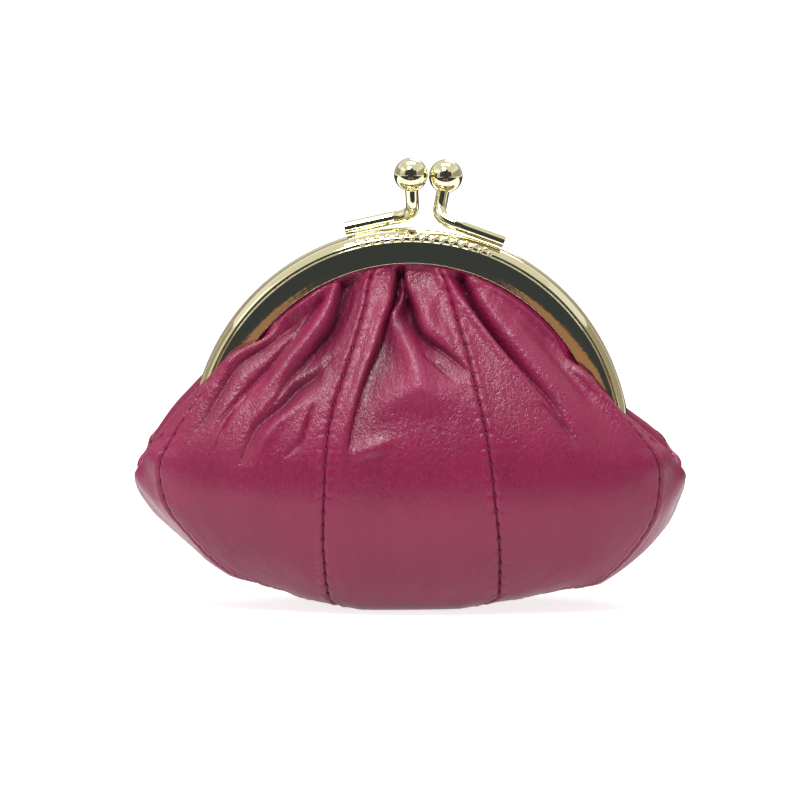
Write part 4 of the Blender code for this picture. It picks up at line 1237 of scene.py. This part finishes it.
class PURSE_OT_hinge_rivets(bpy.types.Operator):
    """Turns the two domed rivets that the halves swing on"""

    bl_idname = "purse.hinge_rivets"
    bl_label = "Hinge rivets"

    def execute(self, context):
        metal = context.scene.purse_metal
        outer = ear_place(-1, metal)[1] + HEAD_GAP
        inner = ear_place(1, metal)[0] - HEAD_GAP
        for hand, word in ENDS:
            dome = arc((outer, 0.0), (RIVET_DOME, RIVET_HEAD), 0, 80, 8)
            profile = [(x, max(radius, RIVET_TIP)) for x, radius in dome]
            profile += [(outer, 0.97 * RIVET_HEAD), (outer, RIVET_RADIUS), (inner, RIVET_RADIUS)]
            profile += [(inner, RIVET_HEAD), (inner - 0.5 * RIVET_DOME, 0.85 * RIVET_HEAD)]
            profile += [(inner - 0.75 * RIVET_DOME, RIVET_TIP)]
            obj = lathe(f"{word}_rivet_turned", [(hand * x, radius) for x, radius in profile], 40)
            dress(on_frame(obj), "gold", "bag", f"{word}_hinge_rivet")
        return {"FINISHED"}


BALL_RISE = 0.0107            # the balls' centres over the crown of the arch
BALL_SPACING = 0.00695        # across, from one ball's centre to the other's
BALL_STAGGER = 0.0009         # each ball leans this far over the other half of the frame
FOOT_ANGLE = math.radians(16.1)        # from the crown to where an arm is soldered on
FOOT_TAIL = 0.0034            # from there to the arm's cut end, and to its knee
FOOT_REACH = 0.0066
NECK_DROP = 0.0062            # from a ball's centre down to where its arm is straight
SEAT_GAP = 0.0002
CUT_BEVEL = 0.0002


def clasp_line(side, metal):
    """Ball centre, and the rod's line from its cut end to inside the ball, about the hinge axis."""
    hand = -side
    angle = hand * FOOT_ANGLE
    ball = Vector((hand * BALL_SPACING / 2, -side * BALL_STAGGER, metal.crown_radius + BALL_RISE))
    foot_y = side * (HALF_GAP / 2 + 0.45 * metal.channel_width)
    out = Vector((math.sin(angle), 0, math.cos(angle)))
    along = Vector((-hand * math.cos(angle), 0, hand * math.sin(angle)))
    seat = out * (metal.crown_radius + SEAT_GAP + metal.rod_radius) + Vector((0, foot_y, 0))
    tail, knee = seat - along * FOOT_TAIL, seat + along * FOOT_REACH
    neck = ball + Vector((-hand * 0.12 * NECK_DROP, -0.35 * (ball.y - foot_y), -NECK_DROP))
    corner = Vector(
        (neck.x - hand * 0.25 * metal.rod_radius, lerp(knee.y, neck.y, 0.4), knee.z + 0.6 * metal.rod_radius)
    )
    line = [tail.lerp(knee, step / 8) for step in range(9)]
    line += [knee.lerp(corner, s).lerp(corner.lerp(neck, s), s) for s in np.arange(1, 17) / 16]
    top = ball + (neck - ball).normalized() * 0.4 * metal.ball_radius
    line += [neck.lerp(top, step / 4) for step in range(1, 5)]
    return ball, line


def clasp_arm(name, line, radius):
    """A bent rod whose ends are cut square and lightly bevelled."""
    arm = tube_along(name, line, radius, 8)
    bpy.ops.object.mode_set(mode="EDIT")
    closed(arm)
    apply_modifier(
        arm, "BEVEL", width=CUT_BEVEL, segments=3, limit_method="ANGLE", angle_limit=math.radians(60)
    )
    bpy.ops.object.shade_smooth_by_angle(angle=math.radians(35))
    return arm


class PURSE_OT_kiss_lock(bpy.types.Operator):
    """Bends the two clasp arms and sets a polished ball on each"""

    bl_idname = "purse.kiss_lock"
    bl_label = "Kiss lock"

    def execute(self, context):
        metal = context.scene.purse_metal
        for side, word in HALVES:
            centre, line = clasp_line(side, metal)
            arm = clasp_arm(f"{word}_arm_rod", line, metal.rod_radius)
            dress(on_frame(arm), "gold", f"{word}_half", f"{word}_clasp_arm")
            ball = sphere(f"{word}_ball_turned", metal.ball_radius, 64, 32)
            pole = (line[-5] - centre).to_track_quat("-Z", "Y").to_matrix().to_4x4()
            ball.data.transform(Matrix.Translation(centre) @ pole)
            dress(on_frame(ball), "gold", f"{word}_half", f"{word}_clasp_ball")
        return {"FINISHED"}


CORD_RADIUS = 0.00055
CORD_GAP = 0.00025
CORD_END = CHANNEL_END + math.radians(6.0)
CORD_LAY = 0.0026             # length of one turn of the two plies
PLY_REACH = 0.45              # shares of the cord's radius: a ply's distance from the middle and its radius
PLY_RADIUS = 0.52


def cord_ply(side, start, metal):
    """One ply's line round the cord, which lies in the channel behind the leather's held edge."""
    radius = metal.crown_radius - metal.channel_depth + 0.45 * INSERT * MM
    seat = side * (HALF_GAP / 2 + metal.sheet + CORD_GAP + CORD_RADIUS)
    turns = radius * (math.pi - 2 * CORD_END) / CORD_LAY
    line = []
    for share in np.linspace(0, 1, 400):
        angle, twist = lerp(CORD_END, math.pi - CORD_END, share), start + 2 * math.pi * turns * share
        reach = radius + PLY_REACH * CORD_RADIUS * math.cos(twist)
        y = seat + PLY_REACH * CORD_RADIUS * math.sin(twist)
        line.append((reach * math.cos(angle), y, reach * math.sin(angle)))
    return line


class PURSE_OT_paper_cords(bpy.types.Operator):
    """Twists the two-ply paper cords that pack the channels"""

    bl_idname = "purse.paper_cords"
    bl_label = "Paper cords"

    def execute(self, context):
        metal = context.scene.purse_metal
        for side, word in HALVES:
            cord, other = (
                tube_along(f"{word}_cord_twisted", cord_ply(side, start, metal), PLY_RADIUS * CORD_RADIUS, 1)
                for start in (0.0, math.pi)
            )
            dress(on_frame(join(cord, [other])), "paper", f"{word}_half", f"{word}_paper_cord")
        return {"FINISHED"}


# Stage

LEVEL, UPRIGHT = 0.0, math.pi / 2
VIEW_TARGET = (-0.002, 0.0, 0.04134)
VIEW_DISTANCE = 0.9
VIEW_WIDTH = 0.16             # what the picture's width shows at the purse
AMBIENT = 0.27                # how brightly the white room lights the purse, where reflections show it at 1


def stage_plane(name, size, place, turn, material):
    deselect()
    bpy.ops.mesh.primitive_plane_add(size=1.0)
    obj = named(name)
    obj.data.transform(
        Matrix.Translation(place) @ Matrix.Rotation(turn, 4, "X") @ Matrix.Diagonal((*size, 1.0, 1.0))
    )
    obj.data.materials.append(material)
    return obj


def reflected_plane(name, size, place, turn, material):
    """A plane that shows only in reflections."""
    card = stage_plane(name, size, place, turn, material)
    card.visible_camera = False
    card.visible_diffuse = False
    card.visible_shadow = False
    card.visible_transmission = False
    return card


def looked_at(tree):
    """1 for what the camera sees, also in reflections, and 0 for light that falls on matt things."""
    camera = add_node(tree, "ShaderNodeLightPath", "Is Camera Ray")
    mirror = camera.node.outputs["Is Glossy Ray"]
    return add_node(tree, "ShaderNodeMath", "Value", {0: camera, 1: mirror}, operation="MAXIMUM")


def white_floor(tree):
    """Matt white card, lifted to white for the camera and in reflections. It keeps the purse's shadow."""
    card = {"Base Color": opaque((0.80, 0.80, 0.80)), "Roughness": 0.9, "Specular IOR Level": 0.0}
    matt = add_node(tree, "Principled BSDF", "BSDF", card)
    lift = add_node(tree, "ShaderNodeMath", "Value", {0: looked_at(tree), 1: 0.8}, operation="MULTIPLY")
    glow = add_node(tree, "ShaderNodeEmission", "Emission", {"Strength": lift})
    both = add_node(tree, "ShaderNodeAddShader", "Shader", {0: matt, 1: glow})
    add_node(tree, "Material Output", None, {"Surface": both})


def reflected_card(tree, colour):
    """A card that glows as brightly as its colour says."""
    glow = add_node(tree, "ShaderNodeEmission", "Emission", {"Color": opaque(linear(colour))})
    add_node(tree, "Material Output", None, {"Surface": glow})


def lit_world():
    world = bpy.data.worlds.new("studio")
    bpy.context.scene.world = world
    world.use_nodes = True
    tree = world.node_tree
    room = {"Value": looked_at(tree), "To Min": AMBIENT, "To Max": 1.0}
    strength = add_node(tree, "ShaderNodeMapRange", "Result", room)
    add_node(tree, "Background", "Background", {"Color": opaque((1.0, 1.0, 1.0)), "Strength": strength})


def softbox(name, place, target, size, watts):
    light = bpy.data.lights.new(name, "AREA")
    light.shape = "RECTANGLE"
    light.size, light.size_y = size
    light.energy = watts
    obj = bpy.data.objects.new(name, light)
    obj.location = place
    obj.rotation_euler = (Vector(target) - Vector(place)).to_track_quat("-Z", "Y").to_euler()
    bpy.context.scene.collection.objects.link(obj)


def front_camera():
    """The camera in front of the purse and a little above it."""
    away = Vector((0, -math.cos(VIEW_ELEVATION), math.sin(VIEW_ELEVATION)))
    camera = bpy.data.cameras.new("camera")
    camera.sensor_width = 36.0
    camera.lens = camera.sensor_width * VIEW_DISTANCE / VIEW_WIDTH
    camera.clip_start = 0.01
    obj = bpy.data.objects.new("camera", camera)
    obj.location = Vector(VIEW_TARGET) + away * VIEW_DISTANCE
    obj.rotation_euler = (-away).to_track_quat("-Z", "Y").to_euler()
    bpy.context.scene.collection.objects.link(obj)
    bpy.context.scene.camera = obj


class PURSE_OT_stage(bpy.types.Operator):
    """Sets the white floor, soft lights and the camera at the photograph's angle"""

    bl_idname = "purse.stage"
    bl_label = "Stage"

    def execute(self, context):
        context.scene.view_settings.view_transform = "Standard"
        floor = finished("white_card_matt", white_floor)
        stage_plane("floor", (6.0, 6.0), (0, 0, 0), LEVEL, floor)
        charcoal = finished("card_charcoal", reflected_card, "#40444E")
        tan = finished("card_tan", reflected_card, "#AE8469")
        grey = finished("card_grey", reflected_card, "#B0A89A")
        olive = finished("card_olive", reflected_card, "#4E4B40")
        cream = finished("card_cream", reflected_card, "#F2EFE8")
        for side, word in HALVES:
            reflected_plane(f"{word}_dark_card", (1.6, 2.3), (0, side * 1.27, 0.003), LEVEL, charcoal)
            for hand, _ in ENDS:
                place = (hand * 0.042, side * 0.27, 0.005)
                reflected_plane(f"{word}_tan_card", (0.050, 0.20), place, LEVEL, tan)
        reflected_plane("dark_flag", (0.66, 1.3), (0.03, -1.0, 0.66), UPRIGHT, charcoal)
        reflected_plane("front_flag", (3.2, 1.4), (0, -1.7, 0.75), UPRIGHT, olive)
        reflected_plane("rear_flag", (3.2, 0.9), (0, 1.7, 0.50), UPRIGHT, grey)
        reflected_plane("ceiling_card", (3.2, 3.2), (0, 0, 1.6), LEVEL, cream)
        for hand, word in ENDS:
            flag = reflected_plane(f"{word}_flag", (3.2, 0.9), (0, 1.7, 0.50), UPRIGHT, grey)
            flag.data.transform(Matrix.Rotation(hand * math.pi / 2, 4, "Z"))
        lit_world()
        softbox("key", (-0.12, -0.37, 0.63), (0, 0, 0.03), (0.20, 0.20), 3.8)
        softbox("overhead", (0.0, 0.05, 0.80), (0, 0, 0.03), (0.55, 0.30), 1.6)
        softbox("rear", (0.15, 0.60, 0.55), (0, 0, 0.03), (0.3, 0.3), 1.8)
        softbox("left", (-0.60, -0.25, 0.35), (0, 0, 0.04), (0.4, 0.5), 0.3)
        front_camera()
        return {"FINISHED"}


class PURSE_PT_pieces(bpy.types.Panel):
    """Lists the pieces of the purse"""

    bl_idname = "PURSE_PT_pieces"
    bl_label = "Kiss-lock purse"
    bl_space_type = "VIEW_3D"
    bl_region_type = "UI"
    bl_category = "Purse"

    def draw(self, context):
        for operator in OPERATORS:
            self.layout.operator(operator.bl_idname)
        for group in (context.scene.purse_metal, context.scene.purse_leather, context.scene.purse_colours):
            box = self.layout.box()
            for name in group.__annotations__:
                box.prop(group, name)


OPERATORS = (
    PURSE_OT_stage,
    PURSE_OT_frame_halves,
    PURSE_OT_hinge_rivets,
    PURSE_OT_kiss_lock,
    PURSE_OT_paper_cords,
    PURSE_OT_leather_panels,
    PURSE_OT_gussets,
    PURSE_OT_linings,
    PURSE_OT_seam_threads,
)
GROUPS = (MetalSizes, LeatherSizes, Colours)


def register():
    for cls in (*GROUPS, *OPERATORS, PURSE_PT_pieces):
        bpy.utils.register_class(cls)
    bpy.types.Scene.purse_metal = PointerProperty(type=MetalSizes)
    bpy.types.Scene.purse_leather = PointerProperty(type=LeatherSizes)
    bpy.types.Scene.purse_colours = PointerProperty(type=Colours)


def unregister():
    del bpy.types.Scene.purse_colours
    del bpy.types.Scene.purse_leather
    del bpy.types.Scene.purse_metal
    for cls in reversed((*GROUPS, *OPERATORS, PURSE_PT_pieces)):
        bpy.utils.unregister_class(cls)


def main():
    register()
    for operator in OPERATORS:
        group, name = operator.bl_idname.split(".")
        getattr(getattr(bpy.ops, group), name)()


if __name__ == "__main__":
    main()
